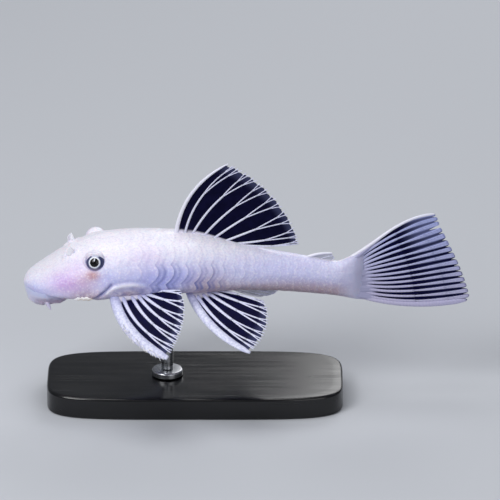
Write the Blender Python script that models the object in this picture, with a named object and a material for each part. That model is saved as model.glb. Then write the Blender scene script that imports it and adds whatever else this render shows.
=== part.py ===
"""Bristlenose pleco, white form: a life-size still model on a plain display stand.

Lengths are millimetres in the fish's own measure: x runs back from the tip of the snout, y to the
fish's right and z up from the plane of the belly. frame_point turns them into metres in the row frame,
whose origin is on the floor under the middle of the fish's length. The fish faces -X.
"""

import math
from dataclasses import dataclass

import bmesh
import bpy
from mathutils import Vector

# The whole
TOTAL_LENGTH = 120.0
BODY_LENGTH = 88.6
BELLY_HEIGHT = 32.0
GAP = 0.3
HAIR_GAP = 0.02

# Where the body is parted
GILL_CUT = 24.0
TAIL_CUT = 66.0

# x back from the snout, height of the back, height of the belly, half width, height of the widest line
STATIONS = (
    (0.0, 1.5, 1.5, 0.0, 1.5),
    (1.3, 3.9, 0.6, 4.8, 1.9),
    (4.6, 6.0, 0.1, 8.8, 2.2),
    (8.0, 8.4, 0.0, 10.6, 2.5),
    (13.7, 12.2, -0.2, 12.2, 3.0),
    (21.7, 15.0, -0.3, 13.0, 3.8),
    (34.0, 15.8, 0.0, 12.5, 5.0),
    (44.0, 15.5, 0.2, 11.1, 5.0),
    (55.0, 13.2, 0.1, 8.6, 4.5),
    (66.0, 10.4, -0.5, 6.1, 3.9),
    (76.0, 8.6, -1.5, 4.3, 3.2),
    (84.0, 7.2, -2.5, 3.1, 2.5),
    (88.6, 9.0, -3.5, 2.4, 2.6),
)
# How square the section is below the widest line: 2 is an ellipse, 4 a flat belly
BELLY_SQUARENESS = ((0.0, 2.6), (10.0, 3.6), (20.0, 3.2), (30.0, 2.5), (50.0, 2.4), (66.0, 2.1), (88.6, 2.2))
BACK_SQUARENESS = ((0.0, 2.2), (15.0, 2.0), (50.0, 1.9), (88.6, 2.1))

# Bony plates: rows down each side, as shares of the way from the back's midline to the belly's
ROW_EDGES = (0.0, 0.16, 0.33, 0.49, 0.64, 0.80)
ROW_STEPS = 4
BELLY_STEPS = 2
PLATES = 22
FIRST_PLATE_EDGE = 25.5
PITCH_AT_TAIL = 1.85
PITCH_EXTRA_AHEAD = 3.3
PITCH_FALL = 6.0
PLATE_LIFT = 0.26
PLATE_SEAM_LIFT = 0.11
PLATE_BULGE = 0.28
PLATE_LEAN = 0.42
PLATE_STEP = 0.28
NAKED_BELLY_END = 56.0

# Head
HEAD_RINGS = 24
EYE_CENTRE = (19.65, 8.75, 10.3)
EYE_RADIUS = 2.6
BROW_LIFT = 0.8
BROW_REACH = 3.3
NOSTRIL_X = 12.4
NOSTRIL_SHARE = 0.116
NOSTRIL_PIT = 0.62
NOSTRIL_SPACING = 0.95
FLAP_HEIGHT = 2.0
CHEEK_SPINES = 5

# Lips: centre behind the snout, half length, half width and height of each ring of the disc, outside in
LIP_RINGS = (
    (7.5, 6.2, 4.8, 6.9, 0.9),
    (7.5, 6.6, 5.3, 7.3, -0.3),
    (7.5, 6.3, 5.5, 7.5, -1.2),
    (7.5, 5.8, 5.25, 7.2, -2.15),
    (7.45, 4.9, 4.5, 6.5, -2.8),
    (7.3, 3.6, 3.4, 5.5, -2.95),
    (6.9, 2.1, 2.1, 4.3, -2.4),
    (6.6, 1.3, 1.3, 3.4, -1.3),
    (6.6, 0.6, 0.6, 2.0, -1.0),
)
LIP_SIDES = 28
LIP_SLOPE = 0.22
BARBEL_LENGTH = 2.6

# Fin stuff, as half thicknesses
WEB_HALF = 0.25
TIP_SHARE = 0.62

# Stand
BASE_CENTRE_X = 46.0
BASE_HALF_LENGTH = 40.0
BASE_HALF_WIDTH = 17.0
BASE_THICK = 6.0
BASE_CHAMFER = 0.8
BASE_SQUARENESS = 5.0
BASE_SIDES = 48
ROD_X = 38.5
ROD_RADIUS = 1.6
FOOT_RADIUS = 4.2
FOOT_THICK = 1.6

SIDES = (("left", -1.0), ("right", 1.0))


def frame_point(point):
    """A point in the fish's millimetres as metres in the row frame."""
    x, y, z = point
    return ((x - TOTAL_LENGTH / 2) / 1000.0, y / 1000.0, (z + BELLY_HEIGHT) / 1000.0)


def lerp(first, last, share):
    return first + (last - first) * share


def parabola(values, share):
    """The parabola through three values at shares 0, one half and 1."""
    first, middle, last = values
    return (
        first * (1 - share) * (1 - 2 * share)
        + 4 * middle * share * (1 - share)
        + last * share * (2 * share - 1)
    )


def straight_between(table, x):
    """Straight-line value between the named (x, value) pairs."""
    for (x0, v0), (x1, v1) in zip(table, table[1:]):
        if x <= x1:
            return lerp(v0, v1, (x - x0) / (x1 - x0))
    return table[-1][1]


def body_curve(column):
    """Smooth curve through one column of the stations, drawn against the square root of x, which rounds the snout."""
    knots = [math.sqrt(row[0]) for row in STATIONS]
    values = [row[column] for row in STATIONS]
    steps = [b - a for a, b in zip(knots, knots[1:])]
    rises = [(b - a) / h for a, b, h in zip(values, values[1:], steps)]
    slopes = [rises[0]]
    for (h0, d0), (h1, d1) in zip(zip(steps, rises), zip(steps[1:], rises[1:])):
        flat = d0 * d1 <= 0
        near, far = 2 * h1 + h0, h1 + 2 * h0
        slopes.append(0.0 if flat else (near + far) / (near / d0 + far / d1))
    slopes.append(rises[-1])

    def value(x):
        q = math.sqrt(max(x, 0.0))
        i = max(i for i in range(len(steps)) if knots[i] <= q)
        h = steps[i]
        t = (q - knots[i]) / h
        return (
            values[i] * (2 * t**3 - 3 * t**2 + 1)
            + slopes[i] * h * (t**3 - 2 * t**2 + t)
            + values[i + 1] * (3 * t**2 - 2 * t**3)
            + slopes[i + 1] * h * (t**3 - t**2)
        )

    return value


back_height = body_curve(1)
belly_height = body_curve(2)
half_width = body_curve(3)
side_height = body_curve(4)


def skin_point(x, share, lift=0.0):
    """Point on the left flank: share 0 is the back's midline and 1 the belly's. lift pushes the section out."""
    angle = math.pi * (0.5 - share)
    across, up = math.cos(angle), math.sin(angle)
    above = up >= 0
    power = 2.0 / straight_between(BACK_SQUARENESS if above else BELLY_SQUARENESS, x)
    side = side_height(x)
    reach = (back_height(x) - side) if above else (side - belly_height(x))
    y = -(half_width(x) + lift) * abs(across) ** power
    z = side + math.copysign((reach + lift) * abs(up) ** power, up)
    return (x, 0.0 if share in (0.0, 1.0) else y, z)


def mirrored(point):
    return (point[0], -point[1], point[2])


def row_shares():
    """Shares of the ring's points down one side, with a row's edges among them."""
    shares = []
    for top, low in zip(ROW_EDGES, ROW_EDGES[1:]):
        shares += [lerp(top, low, k / ROW_STEPS) for k in range(ROW_STEPS)]
    last = ROW_EDGES[-1]
    return shares + [lerp(last, 1.0, k / BELLY_STEPS) for k in range(BELLY_STEPS + 1)]


SHARES = row_shares()


def plate_crown(x, share):
    """How far this point is towards the middle of its plate row: 0 at a row's edge, 1 at its middle."""
    if share > ROW_EDGES[-1]:
        if x < NAKED_BELLY_END:
            return None
        phase = (share - ROW_EDGES[-1]) / (1.0 - ROW_EDGES[-1]) / 2
    else:
        top = max(edge for edge in ROW_EDGES[:-1] if edge <= share)
        low = min(edge for edge in ROW_EDGES if edge > top)
        phase = (share - top) / (low - top)
    return 1 - (2 * phase - 1) ** 2


def whole_ring(left_points):
    """Left flank points from back to belly, then the right flank's back up again."""
    return left_points + [mirrored(p) for p in left_points[-2:0:-1]]


def flat_ring(x, lift=0.0):
    return whole_ring([skin_point(x, share, lift) for share in SHARES])


def smooth_step(low, high, x):
    t = min(max((x - low) / (high - low), 0.0), 1.0)
    return t * t * (3 - 2 * t)


def plate_edges():
    """(x, pitch) of the plates' rear edges: long plates behind the head, short ones at the tail."""
    edges, x = [], FIRST_PLATE_EDGE
    for k in range(PLATES):
        pitch = PITCH_AT_TAIL + PITCH_EXTRA_AHEAD * math.exp(-k / PITCH_FALL)
        edges.append((x, pitch))
        x += pitch
    return edges


def plate_rings(x, pitch):
    """The raised rear edge of the plates at x and the low front edge of the next ones. Edges bow backwards
    in each row and lean forwards below the side."""
    high, low = [], []
    fade = smooth_step(GILL_CUT - 0.5, GILL_CUT + 3.5, x)
    for share in SHARES:
        crown = plate_crown(x, share)
        lift = 0.0 if crown is None else lerp(PLATE_SEAM_LIFT, PLATE_LIFT, crown)
        edge = x + fade * pitch * (PLATE_BULGE * (crown or 0.0) - PLATE_LEAN * smooth_step(0.36, 0.55, share))
        high.append(skin_point(edge, share, lift))
        low.append(skin_point(edge + PLATE_STEP, share, 0.0))
    return [whole_ring(high), whole_ring(low)]


def new_object(name, points, faces, material):
    mesh = bpy.data.meshes.new(name)
    mesh.from_pydata([frame_point(p) for p in points], [], faces)
    shaped = bmesh.new()
    shaped.from_mesh(mesh)
    bmesh.ops.recalc_face_normals(shaped, faces=shaped.faces)
    shaped.to_mesh(mesh)
    shaped.free()
    mesh.shade_smooth()
    mesh.set_sharp_from_angle(angle=math.radians(50))
    mesh.materials.append(material)
    obj = bpy.data.objects.new(name, mesh)
    bpy.context.scene.collection.objects.link(obj)
    return obj


def loft(name, rings, material, pole=None):
    """Closed solid through rings of equal count. A pole closes the first end to a point."""
    count = len(rings[0])
    points = [p for ring in rings for p in ring]
    faces = []
    for j in range(len(rings) - 1):
        for i in range(count):
            k = (i + 1) % count
            faces.append((j * count + i, j * count + k, (j + 1) * count + k, (j + 1) * count + i))
    if pole is None:
        faces.append(tuple(reversed(range(count))))
    else:
        points.append(pole)
        faces += [(len(points) - 1, (i + 1) % count, i) for i in range(count)]
    faces.append(tuple(range((len(rings) - 1) * count, len(rings) * count)))
    return new_object(name, points, faces, material)


def taper(name, path, widths, depths, across, material, sides=6):
    """Solid with an oval section carried along a path, closed to a point past its last ring."""
    rings = []
    side = Vector(across).normalized()
    for k, (point, width, depth) in enumerate(zip(path, widths, depths)):
        ahead = Vector(path[min(k + 1, len(path) - 1)]) - Vector(path[max(k - 1, 0)])
        wide = (side - ahead.normalized() * side.dot(ahead.normalized())).normalized()
        deep = ahead.normalized().cross(wide)
        turns = [2 * math.pi * i / sides for i in range(sides)]
        rings.append(
            [tuple(Vector(point) + wide * width * math.cos(t) + deep * depth * math.sin(t)) for t in turns]
        )
    return loft(name, rings[::-1], material, pole=path[-1])


def ball(name, centre, radius, material, segments=18, rings=12):
    """Sphere made of turned rings, with its poles along y."""
    turned = []
    for j in range(1, rings):
        tilt = math.pi * j / rings
        ring = []
        for i in range(segments):
            turn = 2 * math.pi * i / segments
            flat = radius * math.sin(tilt)
            ring.append(
                (
                    centre[0] + flat * math.cos(turn),
                    centre[1] + radius * math.cos(tilt),
                    centre[2] + flat * math.sin(turn),
                )
            )
        turned.append(ring)
    count = segments
    points = [p for ring in turned for p in ring]
    first, last = len(points), len(points) + 1
    points += [(centre[0], centre[1] + radius, centre[2]), (centre[0], centre[1] - radius, centre[2])]
    faces = []
    for j in range(len(turned) - 1):
        for i in range(count):
            k = (i + 1) % count
            faces.append((j * count + i, j * count + k, (j + 1) * count + k, (j + 1) * count + i))
    for i in range(count):
        k = (i + 1) % count
        faces.append((first, k, i))
        faces.append((last, (len(turned) - 1) * count + i, (len(turned) - 1) * count + k))
    return new_object(name, points, faces, material)


def collected(name, objects):
    group = bpy.data.collections.new(name)
    for obj in objects:
        for home in list(obj.users_collection):
            home.objects.unlink(obj)
        group.objects.link(obj)
    bpy.context.scene.collection.children.link(group)
    return group


def boolean(obj, tools, operation):
    """Joins or cuts obj with a collection of closed solids, applies it and removes them."""
    group = collected(obj.name + "_tools", tools)
    modifier = obj.modifiers.new("shape", "BOOLEAN")
    modifier.operation = operation
    modifier.operand_type = "COLLECTION"
    modifier.collection = group
    modifier.solver = "EXACT"
    graph = bpy.context.evaluated_depsgraph_get()
    shaped = bpy.data.meshes.new_from_object(obj.evaluated_get(graph))
    obj.modifiers.clear()
    obj.data = shaped
    for tool in tools:
        bpy.data.objects.remove(tool)
    bpy.data.collections.remove(group)


def keep_largest(obj):
    """Keeps only the largest closed surface of the mesh."""
    shaped = bmesh.new()
    shaped.from_mesh(obj.data)
    left = set(shaped.faces)
    islands = []
    while left:
        island, edge = set(), [left.pop()]
        while edge:
            face = edge.pop()
            island.add(face)
            near = {f for e in face.edges for f in e.link_faces} & left
            left -= near
            edge += near
        islands.append(island)
    islands.sort(key=len)
    for island in islands[:-1]:
        bmesh.ops.delete(shaped, geom=list(island), context="FACES")
    shaped.to_mesh(obj.data)
    shaped.free()


def body_cutter(material, clear=GAP):
    """The whole body a little larger than its plates, which trims the roots of what grows from it."""
    rings = []
    for k in range(1, 35):
        x = BODY_LENGTH * (k / 34) ** 1.5
        lifts = [lerp(PLATE_SEAM_LIFT, PLATE_LIFT, min(1.0, share / 0.06)) + clear for share in SHARES]
        rings.append(whole_ring([skin_point(x, share, lift) for share, lift in zip(SHARES, lifts)]))
    return loft("body_cutter", rings, material, pole=(-PLATE_LIFT - clear, 0.0, STATIONS[0][1]))


def brow(point):
    """Swelling of the skin round each eye."""
    far = math.dist((point[0], abs(point[1]), point[2]), EYE_CENTRE)
    return BROW_LIFT * math.exp(-((far / BROW_REACH) ** 2))


def head_ring(x):
    left = []
    for share in SHARES:
        left.append(skin_point(x, share, brow(skin_point(x, share))))
    return whole_ring(left)


def surface_direction(x, share, step=0.2):
    """Outward direction of the left flank at a point."""
    forth = Vector(skin_point(x + step, share)) - Vector(skin_point(x - step, share))
    down = Vector(skin_point(x, share + step / 20)) - Vector(skin_point(x, share - step / 20))
    return down.cross(forth).normalized()


def nostril_flap(material, side):
    """The skin flap that stands between the two openings of one nostril."""
    root = Vector(skin_point(NOSTRIL_X, NOSTRIL_SHARE))
    out = surface_direction(NOSTRIL_X, NOSTRIL_SHARE)
    path = [root - out * 1.0, root + out * 0.4, root + out * FLAP_HEIGHT * 0.75, root + out * FLAP_HEIGHT]
    path = [(p.x, p.y * -side, p.z) for p in path]
    return taper("nostril_flap", path, (1.0, 1.0, 0.95, 0.55), (0.4, 0.42, 0.38, 0.3), (0.75, 1.0, 0.0), material, 8)


def nostril_pits(material, side):
    """Two shallow openings, ahead of the flap and behind it."""
    pits = []
    for away in (-NOSTRIL_SPACING, NOSTRIL_SPACING):
        x, y, z = skin_point(NOSTRIL_X + away, NOSTRIL_SHARE)
        pits.append(ball("nostril_pit", (x, y * -side, z), NOSTRIL_PIT, material, 10, 6))
    return pits


def cheek_spines(material, side):
    """The small tuft of backward hooks low on the cheek."""
    spines = []
    for k in range(CHEEK_SPINES):
        x, y, z = skin_point(13.8 + 0.95 * k, 0.665 - 0.018 * k)
        out, back = 0.35 + 0.12 * k, 1.6 + 0.25 * k
        path = [
            (x - 0.5, y + 0.8, z + 0.5),
            (x + 0.3 * back, y - out * 0.8, z - 0.15),
            (x + back, y - out, z - 0.35),
        ]
        path = [(px, py * -side, pz) for px, py, pz in path]
        spines.append(taper("cheek_spine", path, (0.34, 0.3, 0.18), (0.34, 0.3, 0.18), (0.0, 0.3, 1.0), material, 5))
    return spines


def make_head(material):
    end = GILL_CUT - GAP / 2
    rings = [head_ring(end * (k / HEAD_RINGS) ** 1.8) for k in range(1, HEAD_RINGS + 1)]
    head = loft("head", rings, material, pole=(0.0, 0.0, STATIONS[0][1]))
    growths, hollows = [], []
    for _, side in SIDES:
        growths += [nostril_flap(material, side), *cheek_spines(material, side)]
        hollows += nostril_pits(material, side)
        centre = (EYE_CENTRE[0], EYE_CENTRE[1] * side, EYE_CENTRE[2])
        hollows.append(ball("eye_socket", centre, EYE_RADIUS + GAP, material))
    boolean(head, growths, "UNION")
    boolean(head, hollows, "DIFFERENCE")
    keep_largest(head)


def make_eyes(material):
    for name, side in SIDES:
        centre = (EYE_CENTRE[0], EYE_CENTRE[1] * side, EYE_CENTRE[2])
        ball("eye_" + name, centre, EYE_RADIUS, material)


def plated_length(name, start, end, material):
    """A length of the body between two flat cuts, its plates raised in its own surface."""
    rings = [flat_ring(start + GAP / 2)]
    for x, pitch in plate_edges():
        pair = plate_rings(x, pitch)
        if min(p[0] for p in pair[0]) > start + 2 * GAP and max(p[0] for p in pair[1]) < end - 2 * GAP:
            rings += pair
    rings.append(flat_ring(end - GAP / 2))
    return loft(name, rings, material)


def make_lips(material, cutter_material):
    """The sucker mouth: a disc of thick lips round a cross slit, with a short barbel at each corner."""
    rings = []
    for centre, ahead, behind, half_wide, z in LIP_RINGS[::-1]:
        turns = [2 * math.pi * i / LIP_SIDES for i in range(LIP_SIDES)]
        reaches = [ahead if math.cos(t) < 0 else behind for t in turns]
        ring = [(centre + reach * math.cos(t), half_wide * math.sin(t)) for t, reach in zip(turns, reaches)]
        slope = LIP_SLOPE * smooth_step(1.0, -1.5, z)
        rings.append([(x, y, z - slope * max(0.0, centre - x)) for x, y in ring])
    centre, _, _, _, z = LIP_RINGS[-1]
    lips = loft("lips", rings, material, pole=(centre, 0.0, z))
    barbels = []
    for _, side in SIDES:
        path = [
            (6.4, 5.6 * side, -1.6),
            (6.6, 7.0 * side, -2.0),
            (7.0, 7.7 * side, -2.6),
            (7.6, 8.1 * side, -2.0 - BARBEL_LENGTH * 0.6),
        ]
        barbels.append(
            taper("barbel", path, (0.6, 0.55, 0.4, 0.2), (0.6, 0.55, 0.4, 0.2), (1.0, 0.0, 0.0), material)
        )
    boolean(lips, barbels, "UNION")
    boolean(lips, [body_cutter(cutter_material, GAP - PLATE_LIFT)], "DIFFERENCE")
    keep_largest(lips)


@dataclass
class Fan:
    """A fin as a fan of rays in its own plane: a runs back, b away from the body, c through the fin."""

    rays: int
    root_first: tuple
    root_last: tuple
    angles: tuple
    lengths: tuple
    bows: tuple
    spine_half: tuple
    spine_thick: tuple
    ray_half: tuple = (0.42, 0.2)
    ray_thick: tuple = (0.52, 0.34)
    fork: float = 0.52
    flesh: float = 0.5
    flesh_reach: float = 1.6
    camber: float = 0.0
    last_lift: float = 0.0
    late_bow: float = 0.0
    root_curve: object = None
    spine_room: float = 0.28
    stout_last: bool = False


LEVELS_BEFORE = (0.0, 0.28, 0.64)
LEVELS_AFTER = (0.33, 0.67, 1.0)


def levels_of(fan):
    """Shares along the rays at which the fin has a row of points, with the fork among them."""
    before = [fan.fork * level for level in LEVELS_BEFORE]
    if fan.fork == 1.0:
        return before + [1.0]
    return before + [fan.fork] + [lerp(fan.fork, 1.0, level) for level in LEVELS_AFTER]


def ray_share(fan, ray):
    """Where a ray starts along the fin's root, 0 to 1, with extra room beside a stout ray."""
    last = fan.rays - 1
    if ray in (0, last):
        return ray / last
    inner = (ray - 1) / (last - 1) if not fan.stout_last else (ray - 1) / (last - 2)
    return lerp(fan.spine_room, 1.0 - fan.spine_room * fan.stout_last, inner)


def is_stout(fan, ray):
    return ray == 0 or (fan.stout_last and ray == fan.rays - 1)


def ray_point(fan, ray, along):
    """Point on a ray this share of its length out, and the direction there towards the leading edge."""
    share = ray_share(fan, ray)
    root = [lerp(p, q, share) for p, q in zip(fan.root_first, fan.root_last)]
    if fan.root_curve:
        root[1] = fan.root_curve(root[0])
    angle = math.radians(parabola(fan.angles, share))
    length = parabola(fan.lengths, share)
    bow = parabola(fan.bows, share)
    late = fan.late_bow * (1 - share)
    ahead = (math.cos(angle), math.sin(angle))
    lead = (-ahead[1], ahead[0])
    skew = 1 + late * (2 * along - 1)
    rise = 4 * bow * along * (1 - along) * skew
    slope = 4 * bow * ((1 - 2 * along) * skew + 2 * late * along * (1 - along)) / length
    a = root[0] + ahead[0] * length * along + lead[0] * rise
    b = root[1] + ahead[1] * length * along + lead[1] * rise
    scale = 1 / math.hypot(1, slope)
    return (a, b), (scale * (lead[0] - ahead[0] * slope), scale * (lead[1] - ahead[1] * slope))


def gap_to(fan, ray, other, along):
    """Step from a ray to another at this level, and how wide it is measured across the ray."""
    here, lead = ray_point(fan, ray, along)
    there, _ = ray_point(fan, other, along)
    step = (there[0] - here[0], there[1] - here[1])
    return step, abs(step[0] * lead[0] + step[1] * lead[1])


def room_beside(fan, ray, along):
    """Clear width from a ray to its nearest neighbour."""
    return min(gap_to(fan, ray, other, along)[1] for other in (ray - 1, ray + 1) if 0 <= other < fan.rays)


def fan_columns(fan, ray, along):
    """(offset towards the leading edge, half thickness) of one ray's six columns at one level."""
    length = parabola(fan.lengths, ray_share(fan, ray))
    room = room_beside(fan, ray, along)
    tip = TIP_SHARE if along == 1.0 else 1.0
    web = (WEB_HALF + fan.flesh * math.exp(-((along * length / fan.flesh_reach) ** 2))) * tip
    if is_stout(fan, ray):
        half = min(lerp(*fan.spine_half, along), 0.55 * room)
        thick = max(lerp(*fan.spine_thick, along) * tip, web + 0.05)
        outer = (half, 0.5 * thick) if ray == 0 else (half, web)
        inner = (-half, web) if ray == 0 else (-half, 0.5 * thick)
        return [outer, *[(0.45 * half, thick)] * 2, *[(-0.45 * half, thick)] * 2, inner]
    half = min(lerp(*fan.ray_half, along), 0.38 * room)
    thick = max(lerp(*fan.ray_thick, along) * tip, web + 0.05)
    if along <= fan.fork:
        return [(half, web), *[(0.0, thick)] * 4, (-half, web)]
    apart = 0.24 * room_beside(fan, ray, 1.0) * (along - fan.fork) / (1 - fan.fork)
    half = min(half, 0.45 * (room - apart))
    inner = 0.5 * apart if apart < half else apart - 0.5 * half
    return [(apart + half, web), (apart, thick), (inner, web), (-inner, web), (-apart, thick), (-apart - half, web)]


def fan_point(fan, place, ray, along, offset, height):
    """A column's point: beside its ray on the line to the neighbouring ray, so that each row runs evenly."""
    (a, b), lead = ray_point(fan, ray, along)
    other = ray - 1 if offset > 0 else ray + 1
    if 0 <= other < fan.rays:
        step, width = gap_to(fan, ray, other, along)
        a += step[0] * abs(offset) / width
        b += step[1] * abs(offset) / width
    else:
        a += lead[0] * offset
        b += lead[1] * offset
    lift = fan.camber * along**2 + fan.last_lift * ray_share(fan, ray) * along
    return place(a, b, height + lift)


def make_fan(name, fan, place, material):
    """Thin fin solid. Both faces are split into triangles alike, and every ray is a ridge in its own surface."""
    points, upper, lower = [], [], []
    for along in levels_of(fan):
        top_row, low_row = [], []
        for ray in range(fan.rays):
            seen = {}
            for offset, half in fan_columns(fan, ray, along):
                if offset not in seen:
                    seen[offset] = len(points)
                    points.append(fan_point(fan, place, ray, along, offset, half))
                    points.append(fan_point(fan, place, ray, along, offset, -half))
                top_row.append(seen[offset])
                low_row.append(seen[offset] + 1)
        upper.append(top_row)
        lower.append(low_row)
    faces = []

    def quad(p, q, r, s):
        """Two triangles of one quad, leaving out what has collapsed."""
        for corner in ((p, q, r), (p, r, s)):
            if len(set(corner)) == 3:
                faces.append(corner)

    rows, columns = len(upper), len(upper[0])
    for j in range(rows - 1):
        for i in range(columns - 1):
            quad(upper[j][i], upper[j][i + 1], upper[j + 1][i + 1], upper[j + 1][i])
            quad(lower[j][i], lower[j][i + 1], lower[j + 1][i + 1], lower[j + 1][i])
        for i in (0, columns - 1):
            quad(upper[j][i], upper[j + 1][i], lower[j + 1][i], lower[j][i])
    for j in (0, rows - 1):
        for i in range(columns - 1):
            quad(upper[j][i], upper[j][i + 1], lower[j][i + 1], lower[j][i])
    return new_object(name, points, faces, material)


def upright(a, b, c):
    """A fin standing in the fish's middle plane."""
    return (a, c, b)


def hanging(a, b, c):
    """A fin hanging in the fish's middle plane."""
    return (a, c, -b)


def under_the_back(x):
    return back_height(x) - 0.4


DORSAL = Fan(
    rays=8,
    root_first=(41.0, 0.0),
    root_last=(58.6, 0.0),
    root_curve=under_the_back,
    angles=(54.5, 35.0, 0.0),
    lengths=(24.2, 20.9, 15.4),
    bows=(3.2, 0.8, -0.4),
    spine_half=(0.85, 0.4),
    spine_thick=(0.75, 0.4),
    camber=0.8,
)
ADIPOSE = Fan(
    rays=3,
    root_first=(76.4, 0.0),
    root_last=(82.4, 0.0),
    root_curve=under_the_back,
    angles=(8.0, 15.0, 34.0),
    lengths=(6.9, 3.9, 1.4),
    bows=(0.4, 0.1, 0.0),
    spine_half=(0.5, 0.35),
    spine_thick=(0.6, 0.4),
    ray_half=(0.2, 0.15),
    ray_thick=(0.32, 0.3),
    fork=1.0,
    flesh=0.3,
)
ANAL = Fan(
    rays=5,
    root_first=(55.2, 0.6),
    root_last=(59.0, -0.8),
    angles=(18.0, 13.0, 9.0),
    lengths=(9.4, 11.0, 9.2),
    bows=(0.5, 0.2, -0.2),
    spine_half=(0.5, 0.3),
    spine_thick=(0.55, 0.35),
    ray_half=(0.3, 0.16),
    ray_thick=(0.42, 0.32),
    flesh=0.4,
    flesh_reach=3.0,
)
CAUDAL = Fan(
    rays=16,
    root_first=(BODY_LENGTH + GAP / 2, 8.4),
    root_last=(BODY_LENGTH + GAP / 2, -2.8),
    angles=(27.9, 9.5, -1.0),
    lengths=(25.0, 28.0, 31.2),
    bows=(1.9, 0.7, -2.4),
    late_bow=0.74,
    spine_half=(0.7, 0.5),
    spine_thick=(0.8, 0.4),
    ray_half=(0.3, 0.2),
    ray_thick=(0.45, 0.33),
    fork=0.6,
    flesh=1.5,
    flesh_reach=3.4,
    camber=0.9,
    spine_room=0.09,
    stout_last=True,
)
PECTORAL = Fan(
    rays=7,
    root_first=(0.0, -1.3),
    root_last=(7.6, -2.4),
    angles=(55.9, 38.0, 12.0),
    lengths=(26.0, 19.0, 10.6),
    bows=(3.2, 1.0, 0.0),
    spine_half=(1.5, 1.35),
    spine_thick=(0.95, 0.5),
    ray_half=(0.5, 0.26),
    flesh=0.7,
    flesh_reach=4.6,
    camber=-0.6,
    last_lift=3.9,
    spine_room=0.22,
)
PELVIC = Fan(
    rays=6,
    root_first=(0.0, -1.6),
    root_last=(5.0, -3.6),
    angles=(51.3, 33.0, 14.6),
    lengths=(25.7, 21.7, 15.3),
    bows=(2.4, 0.8, -0.2),
    spine_half=(1.25, 0.95),
    spine_thick=(0.85, 0.5),
    ray_half=(0.5, 0.26),
    flesh=0.6,
    flesh_reach=4.6,
    camber=-0.5,
)
PECTORAL_ROOT = (24.4, 12.2, 1.2)
PELVIC_ROOT = (44.8, 8.7, -0.2)
PAIRED_FIN_DROOP = math.radians(27.0)


def spread(root, side):
    """A paired fin's plane: b runs outwards and down by the droop, and c out of the fin's upper face."""
    x0, y0, z0 = root
    flat, down = math.cos(PAIRED_FIN_DROOP), math.sin(PAIRED_FIN_DROOP)

    def place(a, b, c):
        return (x0 + a, side * (y0 + b * flat + c * down), z0 - b * down + c * flat)

    return place


def make_trimmed_fan(name, fan, place, material, cutter_material):
    """A fin whose root is cut back to just clear of the body's plates."""
    fin = make_fan(name, fan, place, material)
    boolean(fin, [body_cutter(cutter_material)], "DIFFERENCE")
    keep_largest(fin)


def make_stand(base_material, rod_material):
    """A flat base with rounded corners, a round foot and one rod up to the belly."""
    floor = -BELLY_HEIGHT
    power = 2.0 / BASE_SQUARENESS
    outline = []
    for i in range(BASE_SIDES):
        turn = 2 * math.pi * i / BASE_SIDES
        c, s = math.cos(turn), math.sin(turn)
        outline.append((math.copysign(abs(c) ** power, c), math.copysign(abs(s) ** power, s)))

    def plate_ring(z, inset):
        long, wide = BASE_HALF_LENGTH - inset, BASE_HALF_WIDTH - inset
        return [(BASE_CENTRE_X + long * u, wide * v, z) for u, v in outline]

    top = floor + BASE_THICK
    rings = [plate_ring(floor, 0.0), plate_ring(top - BASE_CHAMFER, 0.0), plate_ring(top, BASE_CHAMFER)]
    loft("stand_base", rings, base_material)

    def round_ring(radius, z, sides):
        turns = [2 * math.pi * i / sides for i in range(sides)]
        return [(ROD_X + radius * math.cos(t), radius * math.sin(t), z) for t in turns]

    foot_low = top + GAP
    foot_top = foot_low + FOOT_THICK
    foot = [
        round_ring(FOOT_RADIUS, foot_low, 24),
        round_ring(FOOT_RADIUS, foot_top - 0.5, 24),
        round_ring(FOOT_RADIUS - 0.5, foot_top, 24),
    ]
    loft("stand_foot", foot, rod_material)
    rod = [
        round_ring(ROD_RADIUS, foot_top + GAP, 16),
        round_ring(ROD_RADIUS, belly_height(ROD_X) - GAP, 16),
    ]
    loft("stand_rod", rod, rod_material)


def finish(name, colour, roughness, metallic=0.0):
    material = bpy.data.materials.new(name)
    material.use_nodes = True
    shader = material.node_tree.nodes["Principled BSDF"]
    shader.inputs["Base Color"].default_value = (*colour, 1.0)
    shader.inputs["Roughness"].default_value = roughness
    shader.inputs["Metallic"].default_value = metallic
    return material


def main():
    for obj in list(bpy.data.objects):
        bpy.data.objects.remove(obj)
    skin = finish("white_skin", (0.80, 0.77, 0.86), 0.45)
    fins = finish("pale_fin_rays", (0.62, 0.62, 0.82), 0.4)
    eyes = finish("eye", (0.03, 0.03, 0.05), 0.1)
    base = finish("black_lacquer", (0.02, 0.02, 0.025), 0.3)
    steel = finish("brushed_steel", (0.6, 0.6, 0.62), 0.3, 1.0)
    make_head(skin)
    make_eyes(eyes)
    make_lips(skin, base)
    plated_length("trunk", GILL_CUT, TAIL_CUT, skin)
    plated_length("tail", TAIL_CUT, BODY_LENGTH, skin)
    make_fan("caudal_fin", CAUDAL, upright, fins)
    make_trimmed_fan("dorsal_fin", DORSAL, upright, fins, base)
    make_trimmed_fan("adipose_fin", ADIPOSE, upright, fins, base)
    make_trimmed_fan("anal_fin", ANAL, hanging, fins, base)
    for name, side in SIDES:
        make_trimmed_fan("pectoral_fin_" + name, PECTORAL, spread(PECTORAL_ROOT, side), fins, base)
        make_trimmed_fan("pelvic_fin_" + name, PELVIC, spread(PELVIC_ROOT, side), fins, base)
    make_stand(base, steel)


main()
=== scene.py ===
"""Looks of the bristlenose pleco on its display stand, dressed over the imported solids.

Shapes are worked out in the fish's own millimetres, as in the solids: x back from the tip of the snout,
y to the fish's right, z up from the plane of the belly. to_frame turns them into metres in the row frame.
"""

import math

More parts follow.
